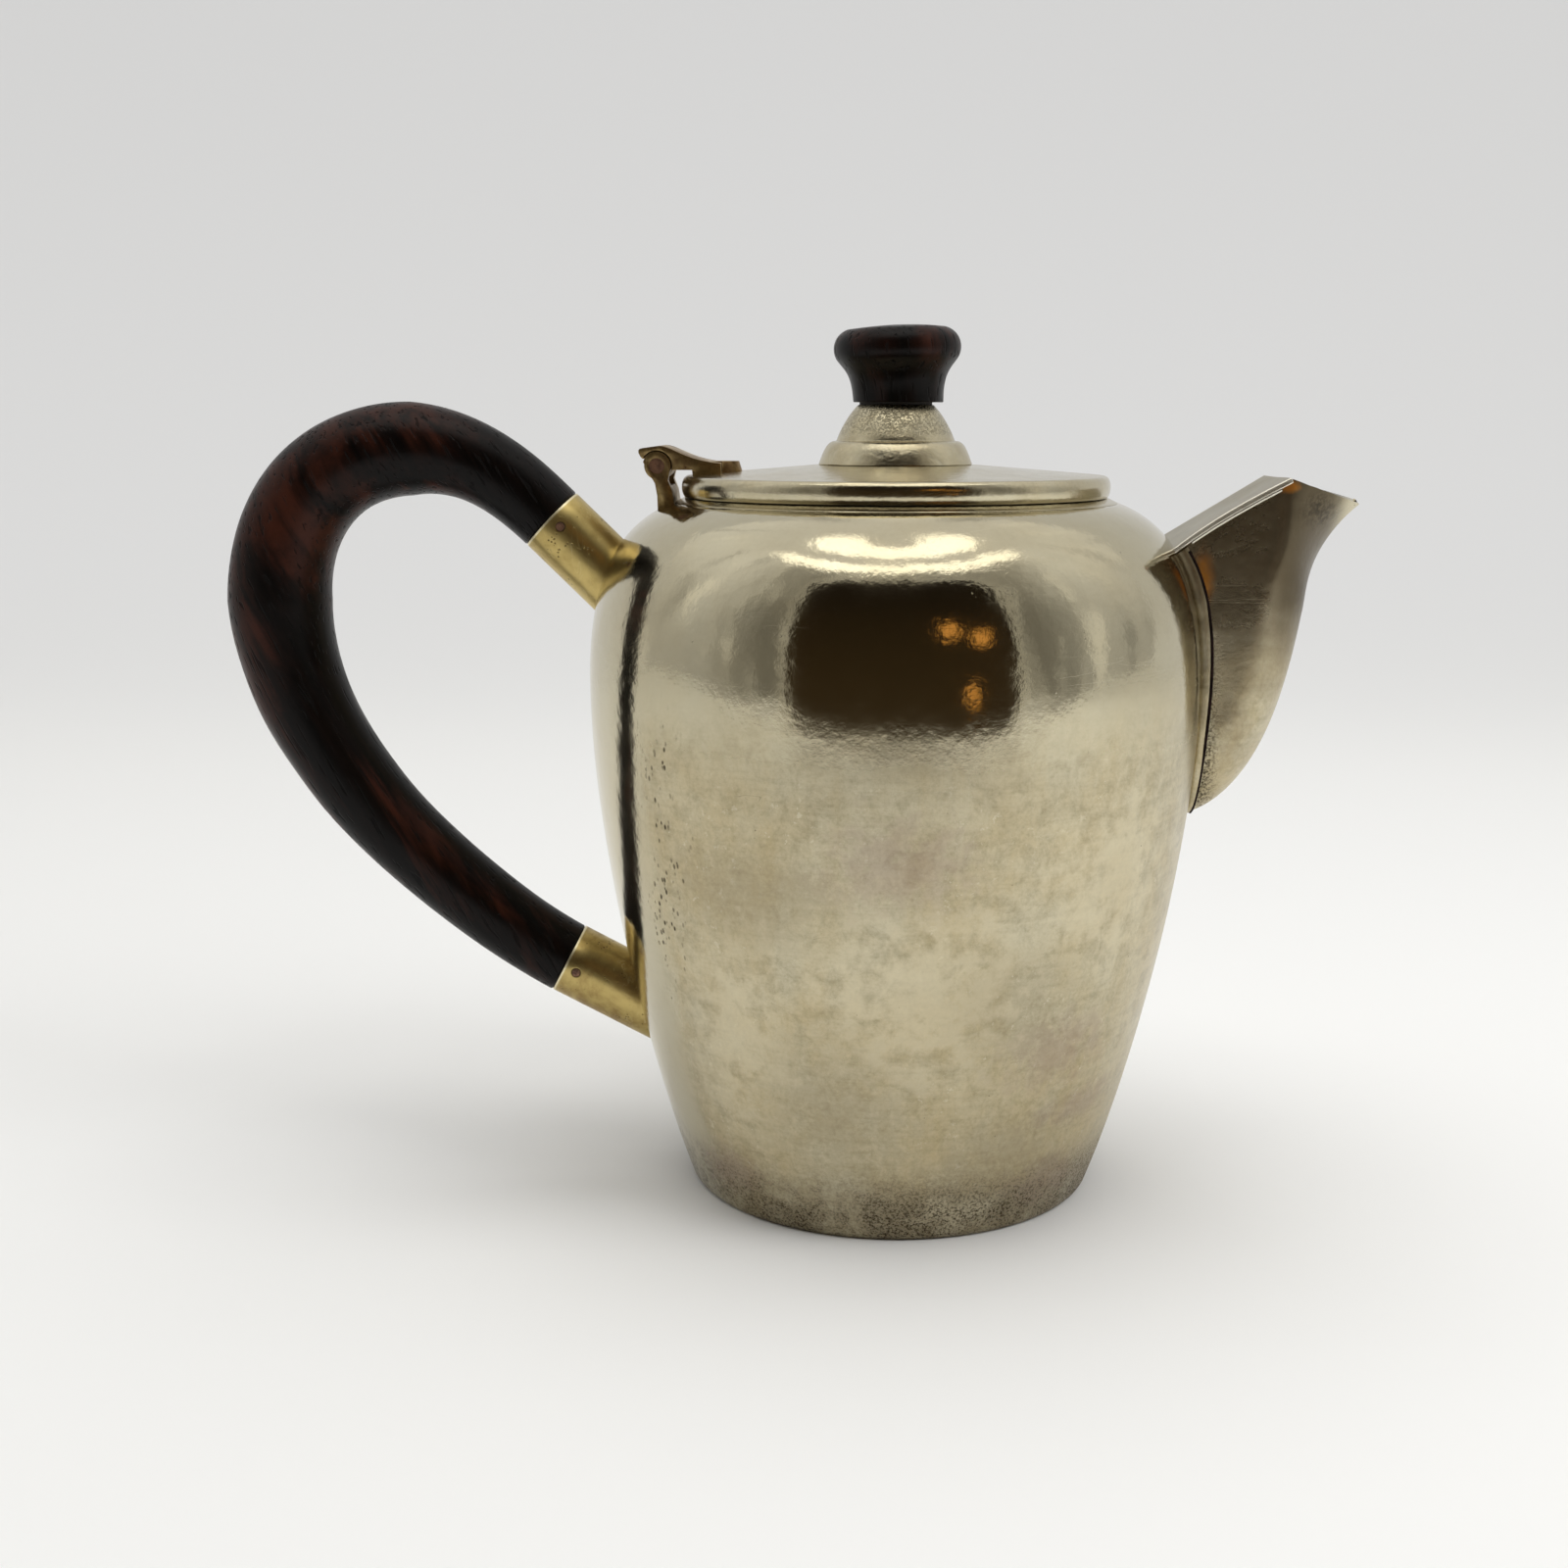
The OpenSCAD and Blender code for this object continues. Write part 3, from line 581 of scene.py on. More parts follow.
def nickel(name, clean_rough, dull_rough, dull_below=0.0, cover=0.5, cloud_mm=22, stains=(), pitted=None,
           speckled=None, bright=None, rubbed=None):
    """stains are (mask maker, colour, roughness); the last four are mask makers."""
    material, shader, place = new_material(name)
    skin = use(around, place)
    height = separate(place)[2]
    low = remap(height, (dull_below + 9) * MM, (dull_below - 9) * MM) if dull_below else 0.35
    if rubbed:
        low = times(low, inverse(rubbed(place)))
    # Tarnish: clouds all over, and streaks that run down the dull part
    cloud = use(tarnish, place, Size_mm=cloud_mm, Cover=cover, Softness=0.2)
    streaks = use(tarnish, mapped(place, (1, 1, 0.22)), Size_mm=9, Cover=0.42, Softness=0.12)
    wear = times_plus(times(cloud, 0.75), times_plus(low, 0.6, 0.4), times(streaks, 0.3, low), clamp=True)
    colour = blend_colour(wear, CLEAN, AGED)
    rough = times_plus(cloud, 0.07, remap(low, 0.0, 1.0, clean_rough, dull_rough))
    # Fine scratches, in three directions
    lines = most(*(use(scratches, mapped(skin, (stretch, 1, 1), (0, 0, turn)), Size_mm=size, Width=width, Cover=share)
                   for turn, stretch, size, width, share in ((8, 0.22, 3, 0.006, 0.35), (63, 0.1, 4, 0.005, 0.3),
                                                             (-38, 0.08, 5, 0.004, 0.3))))
    colour = blend_colour(times(lines, 0.08), colour, SCRATCHED)
    rough = times_plus(lines, 0.04, rough)
    # Mottling, grit and brushed lines, mostly on the dull part
    mottle = remap(clouds(place, 260, 7, 0.7, 0.4), 0.42, 0.68)
    grit = remap(clouds(place, 1500, 3, 0.75), 0.4, 0.7)
    brushed = remap(clouds(mapped(skin, (0.07, 1, 1)), 900, 3, 0.6), 0.4, 0.7)
    shade = times_plus(brushed, 0.12, times_plus(mottle, 0.3, times(grit, 0.18)))
    colour = blend_colour(times(shade, times_plus(low, 0.85, 0.15)), colour, DULLED)
    ticks = use(scratches, mapped(skin, (0.25, 1, 1), (0, 0, 75)), Size_mm=2.5, Width=0.01, Cover=0.12)
    colour = blend_colour(times(ticks, low, 0.55), colour, DIRT)
    flecks = remap(clouds(place, 620, 4, 0.75), 0.6, 0.68)
    flecks = times(flecks, low, remap(clouds(place, 55, 2), 0.45, 0.65), 0.55)
    colour = blend_colour(flecks, colour, PALE_FLECK)
    for make_mask, stain_colour, stain_rough in stains:
        mask = make_mask(place)
        colour = blend_colour(mask, colour, stain_colour)
        rough = times_plus(mask, stain_rough, rough)
    # Relief: scratches, waves from hammering, spun lines and grit
    waves = times(clouds(place, 150, 4, 0.55), times_plus(cloud, 0.8, 0.3))
    relief = plus(times(lines, -0.02), waves)
    relief = times_plus(clouds(mapped(skin, (0.06, 1, 1)), 1300, 2, 0.5), 0.03, relief)
    relief = times_plus(times(grit, low), 0.05, relief)
    # Pits and crust
    specks = times(use(pits, place, Spacing_mm=0.9, Radius=0.18, Cover=0.18), 0.45)
    if pitted:
        deep = use(pits, mapped(place, (1, 1, 0.6)), Spacing_mm=0.95, Radius=0.36, Cover=0.62)
        specks = most(specks, times(deep, pitted(place)))
    if speckled:
        crust = remap(clouds(place, 2300, 4, 0.75), 0.45, 0.62)
        specks = most(specks, times(crust, speckled(place), 0.9))
    colour = blend_colour(specks, colour, DIRT)
    rough = times_plus(specks, 0.4, rough, clamp=True)
    # Painted highlight: a light line painted where the bright mask is given.
    if bright:
        colour = blend_colour(bright(place), colour, PAINTED_EDGE_HIGHLIGHT)
    painted(shader, colour, rough, times_plus(specks, -0.6, relief), 0.12, metallic=1.0)
    return material


# %% [markdown]
# Where the marks are is said by mask makers. Most are a few patches, with the middle and
# the half sizes of each in millimetres. The body has pits on the handle's side, purple and
# dark stains, pale patches below that are partly dried water and partly a painted reflection
# of the floor, a polished strip by the handle, and a crust that creeps up from the foot. The
# spout is brown with old heat, with a painted dark reflection towards its front and two
# painted orange glints.
# %% Where the marks of each nickel piece are
body_pits = spots(1.0, ((-36, -37, 72), (5, 7, 15), 0.5), ((-37, -34, 50), (4, 7, 20), 0.5))
purple_stain = spots(0.4, ((27, -38, 33), (12, 12, 7), 0.8), ((29, -27, 22), (10, 12, 4), 0.8),
                     ((26, -28, 8), (9, 12, 5), 0.6), ((-28, -28, 9), (8, 12, 5), 0.6),
                     ((0, -50, 66), (12, 12, 8), 0.8))
dark_haze = spots(0.42, ((-10, -45, 24), (15, 15, 14), 0.8), ((-22, -42, 60), (16, 14, 9), 0.8),
                  ((20, -40, 15), (15, 15, 9), 0.8), ((-2, -36, 6), (24, 14, 6), 0.6),
                  ((18, -44, 42), (12, 14, 10), 0.9))
# Pale patches: partly dried water marks, partly a painted reflection of the bright floor.
pale_water_and_painted_reflection = spots(0.55, ((4, -47, 44), (18, 12, 16), 0.9), ((33, -36, 62), (12, 12, 16), 0.9),
                   ((-26, -38, 36), (9, 14, 18), 0.8), ((10, -34, 5), (9, 12, 4), 0.7))
# Painted highlights: two small orange glints painted onto the spout.
spout_painted_glints = spots(0.9, ((50.4, -10.4, 105.4), (2.1, 3, 6.5), 0.25), ((64.2, -10.4, 121.0), (1.9, 3, 1.0), 0.4))
spout_haze = spots(0.35, ((61, -8, 88), (5, 9, 4), 0.7), ((57, -9, 80), (4, 9, 8), 0.8),
                   ((66, -8, 94), (6, 9, 6), 0.9))


def rubbed_side(place):
    x, y, z = separate(place)
    return remap(calc("DIVIDE", x, from_axis(x, y)), -0.72, -0.84)


def base_crust(place):
    low = remap(separate(place)[2], 16 * MM, 3 * MM)
    return times(low, use(tarnish, place, Size_mm=14, Cover=0.6, Softness=0.12))


def base_shade(place):
    return times(base_crust(place), 0.6)


def seam_strip(place):
    x, y, z = separate(place)
    near = remap(from_axis(x, y), 56.5 * MM, 52.5 * MM)
    return times(near, remap(z, 62 * MM, 68 * MM), remap(z, 99 * MM, 91 * MM))


def spout_smudge(place):
    crumbs = remap(clouds(place, 1100, 4, 0.75), 0.38, 0.6)
    return times(at(place, (69.2, -5, 117.4), (4.6, 9, 3.4), 0.4), crumbs, 0.9)


def spout_brown(place):
    x, y, z = separate(place)
    return times(remap(z, 84 * MM, 106 * MM), remap(x, 76 * MM, 70 * MM),
                 use(tarnish, place, Size_mm=12, Cover=0.85, Softness=0.35), 0.92)


# A painted dark reflection on the spout's side, towards its front.
def spout_painted_dark_reflection(place):
    x, y, z = separate(place)
    return times(remap(z, 90 * MM, 103 * MM), remap(x, 60 * MM, 64.5 * MM), remap(x, 77 * MM, 72 * MM), 0.8)


def roof_dull(place):
    return times_plus(use(tarnish, place, Size_mm=9, Cover=0.6, Softness=0.3), 0.3, 0.35)


# A painted highlight along the roof plate's two side edges.
def roof_edge_highlight(place):
    return times(remap(calc("ABSOLUTE", separate(place)[1]), 10.2 * MM, 10.6 * MM), 0.9)


def finial_crust(place):
    return times(remap(separate(place)[2], 128.6 * MM, 130 * MM), 0.4)


body_nickel = nickel("body nickel", 0.07, 0.29, dull_below=84, cover=0.5, cloud_mm=26,
                     stains=[(base_shade, (0.2, 0.16, 0.1), 0.05), (purple_stain, (0.33, 0.24, 0.2), 0.08),
                             (dark_haze, (0.3, 0.25, 0.16), 0.08), (pale_water_and_painted_reflection, (0.7, 0.63, 0.45), 0.05)],
                     pitted=body_pits, speckled=base_crust, rubbed=rubbed_side)
lid_nickel = nickel("lid nickel", 0.12, 0.2, cover=0.45, cloud_mm=14)
finial_nickel = nickel("finial nickel", 0.16, 0.26, cover=0.6, cloud_mm=5, speckled=finial_crust)
spout_nickel = nickel("spout nickel", 0.2, 0.3, dull_below=96, cover=0.55, cloud_mm=12,
                      stains=[(spout_haze, (0.24, 0.19, 0.12), 0.05), (spout_brown, (0.2, 0.155, 0.095), 0.05),
                              (spout_painted_dark_reflection, (0.1, 0.08, 0.05), 0.05), (spout_painted_glints, (0.65, 0.27, 0.05), 0.05),
                              (spout_smudge, (0.06, 0.05, 0.035), 0.15)],
                      speckled=seam_strip)
seam_nickel = nickel("seam nickel", 0.26, 0.32, dull_below=96, cover=0.6, cloud_mm=9,
                     stains=[(spout_brown, (0.22, 0.17, 0.1), 0.05)])
roof_nickel = nickel("roof nickel", 0.3, 0.4, cover=0.35, cloud_mm=10, stains=[(roof_dull, (0.25, 0.225, 0.17), 0.0)],
                     bright=roof_edge_highlight)
inside_nickel = nickel("inside nickel", 0.35, 0.45, cover=0.7, cloud_mm=12)
print("nickel finishes ready")


# %% [markdown]
# The sockets are yellow brass, satin from polishing, with brown stains and pits, a bright
# rim against the wood, and a dark ring of dirt round each pin.
# %% Brass
BRASS_SCRATCH = (0.85, 0.74, 0.44)
BRASS_DIRT = (0.06, 0.035, 0.018)
BRASS_RIM = (0.92, 0.84, 0.58)


def brass(name, light, dark, rough, cover, cloud_mm=7, rim=None, ring=None):
    """rim is (middle, way, width) of a bright edge; ring is (middle, radius) of the dirt."""
    material, shader, place = new_material(name)
    cloud = use(tarnish, place, Size_mm=cloud_mm, Cover=cover, Softness=0.16)
    dirt = times(use(pits, place, Spacing_mm=0.7, Radius=0.3, Cover=0.35), 0.7)
    lines = most(*(use(scratches, mapped(place, (1, 1, 0.1), turn), Size_mm=size, Width=width, Cover=0.4)
                   for turn, size, width in (((0, 35, 0), 2, 0.008), ((0, -50, 20), 2.5, 0.006))))
    if ring:
        middle, radius = ring
        off = vector_calc("MULTIPLY", vector_calc("SUBTRACT", place, Vector(middle) * MM), (1, 0, 1))
        dirt = most(dirt, inverse(remap(vector_calc("LENGTH", off), radius * MM, (radius + 0.35) * MM)))
    colour = blend_colour(times(lines, 0.3), blend_colour(cloud, light, dark), BRASS_SCRATCH)
    colour = blend_colour(dirt, colour, BRASS_DIRT)
    worn = times_plus(dirt, 0.3, times_plus(cloud, 0.14, rough), clamp=True)
    if rim:
        middle, way, width = rim
        depth = vector_calc("DOT_PRODUCT", vector_calc("SUBTRACT", place, Vector(middle) * MM), way)
        edge = inverse(remap(depth, width * 0.5 * MM, width * MM))
        colour = blend_colour(times(edge, 0.8), colour, BRASS_RIM)
    relief = times_plus(dirt, -0.5, times(clouds(place, 700, 4, 0.6), 0.16))
    painted(shader, colour, worn, times_plus(lines, -0.15, relief), 0.1, metallic=1.0)
    return material


# %% [markdown]
# The wood is oiled and rubbed by hands, so it is semi-gloss with dry open pores. The
# grain runs up through the piece of wood that it was cut from, not round the bend.
# %% Wood, steel and fibre
def rosewood(name, lean, warmth, *warm_spots):
    """lean turns the grain from upright; warm_spots are the redder places."""
    material, shader, place = new_material(name)
    redder = most(*(at(place, middle, half, 0.3) for middle, half in warm_spots))
    wood = use(grain, mapped(place, turn=(0, lean, 0)), Warmth=warmth, Extra=redder)
    handled = use(tarnish, place, Size_mm=18, Cover=0.5, Softness=0.25)
    nicks = use(pits, place, Spacing_mm=3.2, Radius=0.13, Cover=0.3)
    colour = blend_colour(times(wood["Pores"], 0.6), wood["Colour"], (0.002, 0.0015, 0.0015))
    rough = times_plus(wood["Pores"], 0.25, remap(handled, 0.0, 1.0, 0.27, 0.4))
    relief = times_plus(wood["Bands"], 0.22, times(wood["Pores"], -0.5))
    shader.inputs["Specular IOR Level"].default_value = 0.14
    painted(shader, colour, times_plus(nicks, 0.2, rough, clamp=True), times_plus(nicks, -0.8, relief), 0.13)
    return material


def dark_metal(name, light, dark, rough):
    material, shader, place = new_material(name)
    cloud = use(tarnish, place, Size_mm=2.5, Cover=0.5, Softness=0.15)
    grit = clouds(place, 2400, 3, 0.6)
    painted(shader, blend_colour(cloud, light, dark), times_plus(grit, 0.25, rough), grit, 0.04, metallic=0.9)
    return material


def fibre(name):
    material, shader, place = new_material(name)
    threads = clouds(mapped(place, (1, 1, 3)), 1800, 5, 0.75)
    painted(shader, blend_colour(threads, (0.012, 0.011, 0.01), (0.05, 0.045, 0.04)),
            remap(threads, 0.2, 0.8, 0.6, 0.9), threads, 0.05)
    return material


handle_wood = rosewood("handle rosewood", 28, 0.8, ((-101, -4, 116), (13, 12, 16)), ((-110, -4, 92), (7, 12, 26)),
                       ((-86, -4, 130), (16, 10, 7)))
knob_wood = rosewood("knob rosewood", 6, 0.8, ((7, -7, 144), (5, 6, 5)), ((-8, -6, 145), (4, 6, 3)))
pin_steel = dark_metal("pin metal", (0.36, 0.2, 0.13), (0.1, 0.06, 0.045), 0.35)
nut_steel = dark_metal("nut metal", (0.42, 0.38, 0.32), (0.14, 0.1, 0.07), 0.3)
# A dark finish for the seam's groove: partly dirt, partly painted shade.
seam_dirt_and_shade = dark_metal("seam dirt and shade", (0.04, 0.022, 0.02), (0.012, 0.008, 0.007), 0.6)
washer_fibre = fibre("washer fibre")
print("wood, steel and fibre ready")

# %% [markdown]
# ## The body
# The real body is a disc of sheet spun over a former: one skin of even thickness with no
# seam, open at the mouth, and open below where the base disc is soldered in. A revolved
# profile with an outer and an inner line gives exactly that.
# %% Spin the body
seat_w = 4.7
mouth_r = neck_r - seat_w
foot_hole_r = foot_r - 1.5
outer = [p for p in run(flank, 44) if p.y > base_t + 0.3] + run(shoulder, 36)[1:]
inner = [p for p in run(flank, 44, wall) if p.y > base_t + wall + 0.3] + run(shoulder, 36, wall)[1:]
profile = [(body_r(base_t), base_t), *outer, (mouth_r, body_h), (mouth_r, body_h - wall), *reversed(inner),
           (body_r(base_t) - wall, base_t + wall), (foot_hole_r, base_t + wall), (foot_hole_r, base_t)]
body = turned("body", profile, steps=224)
hand_made(body, 0.05, 17)
print("body profile points:", len(profile))

# %% [markdown]
# The strainer behind the spout is drilled through the finished shell, in rows of four and
# three holes by turns. One drill is modelled, copied to each hole's place, and all the
# copies cut at once.
# %% Drill the strainer
spout_t = 1.1
strainer_r = 1.5
strainer_edge = 1.3
strainer_rows = 7
keel_x, keel_z = tip_x - 9, body_h - 18
strainer_z = keel_z - 24
pitch = (spout_w - 2 * spout_t - 2 * strainer_r - 2 * strainer_edge) / 3
only(None)
bpy.ops.mesh.primitive_cylinder_add(vertices=24, radius=strainer_r * MM, depth=30 * MM, rotation=(0, math.pi / 2, 0))
drill = bpy.context.active_object
drills = []
for row in range(strainer_rows):
    holes = 4 - row % 2
    for column in range(holes):
        only(drill)
        bpy.ops.object.duplicate()
        drills.append(bpy.context.active_object)
        across = (column - (holes - 1) / 2) * pitch
        drills[-1].location = Vector((belly_r, across, strainer_z + row * 0.95 * pitch)) * MM
bpy.data.objects.remove(drill)
cut_by(body, joined(drills))
only(body)
bpy.ops.object.shade_smooth_by_angle(angle=math.radians(32))
finish_piece(body, "pot", "nickel_silver", body_nickel, "body_shell")

# %% [markdown]
# The base is a flat disc with a rounded edge and a low step that centres the body on it.
# The mouth ring lines the opening, and its flange carries on the slope of the shoulder.
# %% Base disc and mouth ring
step_r = foot_hole_r - 0.05
edge_curve = [(foot_r - 0.9, 0), (foot_r - 0.3, 0), (foot_r, 0.3), (body_r(base_t), base_t)]
base_profile = [(0, 0), *run(edge_curve, 8), (step_r, base_t), (step_r, base_t + wall), (0, base_t + wall)]
base = turned("base_disc", base_profile, closed=False)
finish_piece(base, "pot", "nickel_silver", body_nickel, "base_plate")

ring_t = 0.9
ring_r = mouth_r - ring_t
lid_r = neck_r - 1.4
lid_foot_r = lid_r - 0.4
ring = turned("mouth_collar", [(ring_r, ring_low), (mouth_r, ring_low), (mouth_r, body_h), (neck_r, body_h),
                               (lid_foot_r, ring_top), (ring_r, ring_top)])
rounded(ring, 0.22)
finish_piece(ring, "pot", "nickel_silver", lid_nickel, "mouth_ring")

# %% [markdown]
# ## The lid
# The lid is spun too: a rounded rim band, a flat cone, and inside it a ring that drops
# into the mouth. Above it stands a two-tier bell, the finial, which holds the knob off
# the metal. All of them are turned shapes, so each is a profile and a spin.
# %% Spin the lid, its inner ring and the finial
lid_t = 1.0
stud_hole_r = stud_r + 0.1
rim_h = 3.3
rim_low = lid_z - 0.2
lid_edge_z = lid_z + rim_h
lid_edge_r = lid_r - 1.1
rim = [(lid_foot_r, rim_low), (lid_r + 0.35, lid_z + 0.22 * rim_h), (lid_r + 0.25, lid_edge_z),
       (lid_edge_r, lid_edge_z)]
cone = [(mix(lid_edge_r, finial_r, i / 12), mix(lid_edge_z, lid_mid_z, i / 12)) for i in range(1, 13)]
lid_profile = [*run(rim, 18), *cone, (stud_hole_r, lid_mid_z), (stud_hole_r, lid_mid_z - lid_t),
               *((r, z - lid_t) for r, z in reversed(cone)), *reversed(run(rim, 18, lid_t)[1:]),
               (lid_foot_r - lid_t, rim_low)]
lid = turned("lid", lid_profile, steps=224)
hand_made(rounded(lid, 0.12), 0.02, 11)
finish_piece(lid, "lid", "nickel_silver", lid_nickel, "lid_shell")

bezel_t = 0.9
bezel_r = ring_r - 0.9
bezel_in_r = bezel_r - bezel_t
flange_r = lid_foot_r - lid_t - 0.05
flange_z = lid_z + 0.1
bezel = turned("lid_inner_ring", [(bezel_in_r, bezel_z), (bezel_r, bezel_z), (bezel_r, flange_z), (flange_r, flange_z),
                                  (flange_r, flange_z + bezel_t), (bezel_in_r, flange_z + bezel_t)])
rounded(bezel, 0.15)
finish_piece(bezel, "lid", "nickel_silver", inside_nickel, "lid_bezel")

dome_h = 6
tier_r, dome_r = finial_r - 2.9, finial_r - 6.7
tier_z = dome_z - dome_h
tier_h = tier_z - lid_mid_z
hollow_r = finial_r - 1.4
tier = [(finial_r, lid_mid_z), (finial_r - 0.8, lid_mid_z + 0.55 * tier_h), (hollow_r, tier_z), (tier_r + 0.1, tier_z)]
dome = [(tier_r - 0.1, tier_z), (tier_r - 0.9, tier_z + 0.36 * dome_h), (dome_r + 1.5, tier_z + 0.77 * dome_h),
        (dome_r, dome_z)]
hollow = [(dome_r - 0.4, dome_z - 1), (tier_r - 1.3, tier_z), (tier_r - 0.7, tier_z - 1), (hollow_r, lid_mid_z + 0.6),
          (hollow_r, lid_mid_z)]
finial = turned("finial", [*run(tier, 16), *run(dome, 18), (stud_hole_r, dome_z), (stud_hole_r, dome_z - 1), *hollow])
hand_made(rounded(finial, 0.16, angle=40), 0.05, 5)
finish_piece(finial, "lid", "nickel_silver", finial_nickel, "finial_base")

# %% [markdown]
# The knob is turned from the same dark wood. It sits a little off and leans a little, and
# its foot is level, so the leaning shape is cut flat where it meets the washer.
# %% Turn the knob
knob_r = 10.65
knob_off, knob_lean = 0.4, 1.6
knob_low = -0.6
waist = [(knob_r - 3.1, knob_low), (knob_r - 3.05, 0.33 * knob_h), (knob_r - 2.1, 0.4 * knob_h),
         (knob_r - 0.7, 0.54 * knob_h)]
head = [(knob_r - 0.7, 0.54 * knob_h), (knob_r + 0.5, 0.66 * knob_h), (knob_r + 0.2, 0.88 * knob_h),
        (knob_r - 2.4, 0.955 * knob_h)]
crown = [(knob_r - 2.4, 0.955 * knob_h), (knob_r - 5, 0.985 * knob_h), (2, knob_h), (0, knob_h)]
knob_profile = [(0, knob_low), *run(waist, 14), *run(head, 18)[1:], *run(crown, 10)[1:]]
knob = turned("turned_knob", knob_profile, closed=False, steps=128)
lean = Matrix.Rotation(math.radians(-knob_lean), 4, "Y")
knob.data.transform(Matrix.Translation(Vector((knob_off, 0, knob_z)) * MM) @ lean)
with editing(knob):
    bpy.ops.mesh.bisect(plane_co=(0, 0, knob_z * MM), plane_no=(0, 0, -1), use_fill=True, clear_outer=True)
only(None)
bpy.ops.mesh.primitive_cylinder_add(vertices=48, radius=stud_r * MM, depth=2 * (stud_top - knob_z) * MM,
                                    location=(0, 0, knob_z * MM))
cut_by(knob, bpy.context.active_object)
tidy(knob)
hand_made(rounded(knob, 0.25, angle=50), 0.08, 6)
finish_piece(knob, "lid", "dark_wood", knob_wood, "knob")

# %% [markdown]
# ## The spout
# The spout is one folded sheet: two flat sides that meet in a rounded belly below and in
# a pointed beak at the lip. A grid is the natural start, because the sheet can be wrapped:
# one way of the grid goes round the nose, the other goes up. Its back edges are laid on
# the body.
# %% Wrap the spout's sheet
tip_z = body_h - 0.2
root_z = keel_z - 35.2
roof_x, roof_z = tip_x - 13.9, tip_z + 4.5
roof_slope = math.radians(31.3)
roof_t = 0.9
lip_rise = 7.6 / 6.4
bedded = 0.4
curl_h = 18
foot_x = body_r(root_z) + 0.5
belly = [(foot_x, root_z), (mix(foot_x, keel_x, 0.72), root_z + 4.6), (keel_x - 1.8, keel_z - 10.5), (keel_x, keel_z)]
beak = [(keel_x, keel_z), (keel_x + 0.6, keel_z + 3.1), (keel_x + 0.7, keel_z + 10.9), (tip_x, tip_z)]


def keel_at(z):
    """How far forward the fold lies at a height."""
    if z > tip_z:
        return tip_x + (z - tip_z) * lip_rise
    curve = belly if z < keel_z else beak
    return on_curve(curve, share_at(curve, z)).x


def half_width(z):
    """The sheet curls in to nothing over its lowest part."""
    low = clamped((z - root_z) / curl_h)
    return max(0.6, spout_w / 2 * math.sqrt(1 - (1 - low) ** 2))


def back_edge(z, y):
    return math.sqrt(max(0, (body_r(z) - bedded) ** 2 - y * y)) if z < body_h else neck_r


def level_outline(z):
    """Half of a level slice, from the body to the keel, as distance and half width."""
    width = half_width(z)
    front = keel_at(z)
    pointed = soft((z - keel_z) / 15)
    back = min(back_edge(z, width), front - 0.4)
    begin = max(back + 0.1, min(mix(front - 9.8, roof_x, soft((z - keel_z + 2) / 20)), front - 0.2))
    points = [(mix(back, begin, i / side_n), width) for i in range(side_n)]
    for i in range(nose_n + 1):
        share = 1 - (1 - i / nose_n) ** 1.5
        points.append((mix(begin, front, share), width * (1 - share ** mix(2, 1.3, pointed)) ** mix(0.5, 1, pointed)))
    return points


side_n, nose_n, level_n = 10, 16, 84
round_n = 2 * (side_n + nose_n)
only(None)
bpy.ops.mesh.primitive_grid_add(x_subdivisions=round_n, y_subdivisions=level_n, size=MM)
spout = named("spout")
for level in range(level_n + 1):
    z = mix(root_z + 0.02, roof_z + 1.5, (level / level_n) ** 1.25)
    half = level_outline(z)
    whole = [(x, -y) for x, y in half] + [(x, y) for x, y in reversed(half[:-1])]
    for column, (x, y) in enumerate(whole):
        spout.data.vertices[level * (round_n + 1) + column].co = Vector((x, y, z)) * MM
print("spout levels:", level_n + 1, "points round:", round_n + 1)


# %% [markdown]
# The roof line and the lip are two straight cuts. The sheet must face outwards before it
# gets its thickness, because the thickness goes inwards. The real roof is bowed, so the
# top of the sheet is lifted a little between its ends, and the roof plate will be too.
# %% Cut the roof line and the lip, and give the sheet its thickness
def roof_at(x):
    """The height of the roof's upper side at a distance from the axis."""
    return roof_z - (roof_x - x) * math.tan(roof_slope)


def cut_above(piece, height, way):
    with editing(piece):
        bpy.ops.mesh.bisect(plane_co=Vector((roof_x, 0, height)) * MM, plane_no=way, clear_outer=True)


def bow(piece):
    """Lifts what is near the roof, most at the near edge and between the roof's ends."""
    for vertex in piece.data.vertices:
        x, y, z = vertex.co / MM
        over = soft((z - (roof_at(x) - 6)) / 6) if x < roof_x + 2 else 0
        share = clamped((x - 46) / (roof_x + 2 - 46))
        vertex.co.z += over * 0.75 * math.sin(math.pi * share ** 0.8) * soft((4 - y) / 14) * MM


roof_way = (-math.sin(roof_slope), 0, math.cos(roof_slope))
lip_way = Vector((tip_z - roof_z, 0, roof_x - tip_x)).normalized() * -1
cut_above(spout, roof_z - 0.5 * roof_t / math.cos(roof_slope), roof_way)
cut_above(spout, roof_z - 0.02, lip_way)
tidy(spout, 40)
if max(spout.data.polygons, key=lambda face: face.center.y).normal.y < 0:
    spout.data.flip_normals()
thickened(spout, spout_t)
bow(spout)
tidy(spout, 40)
rounded(spout, 0.18, angle=50)
hand_made(spout, 0.04, 9)
finish_piece(spout, "pot", "nickel_silver", spout_nickel, "spout_shell")

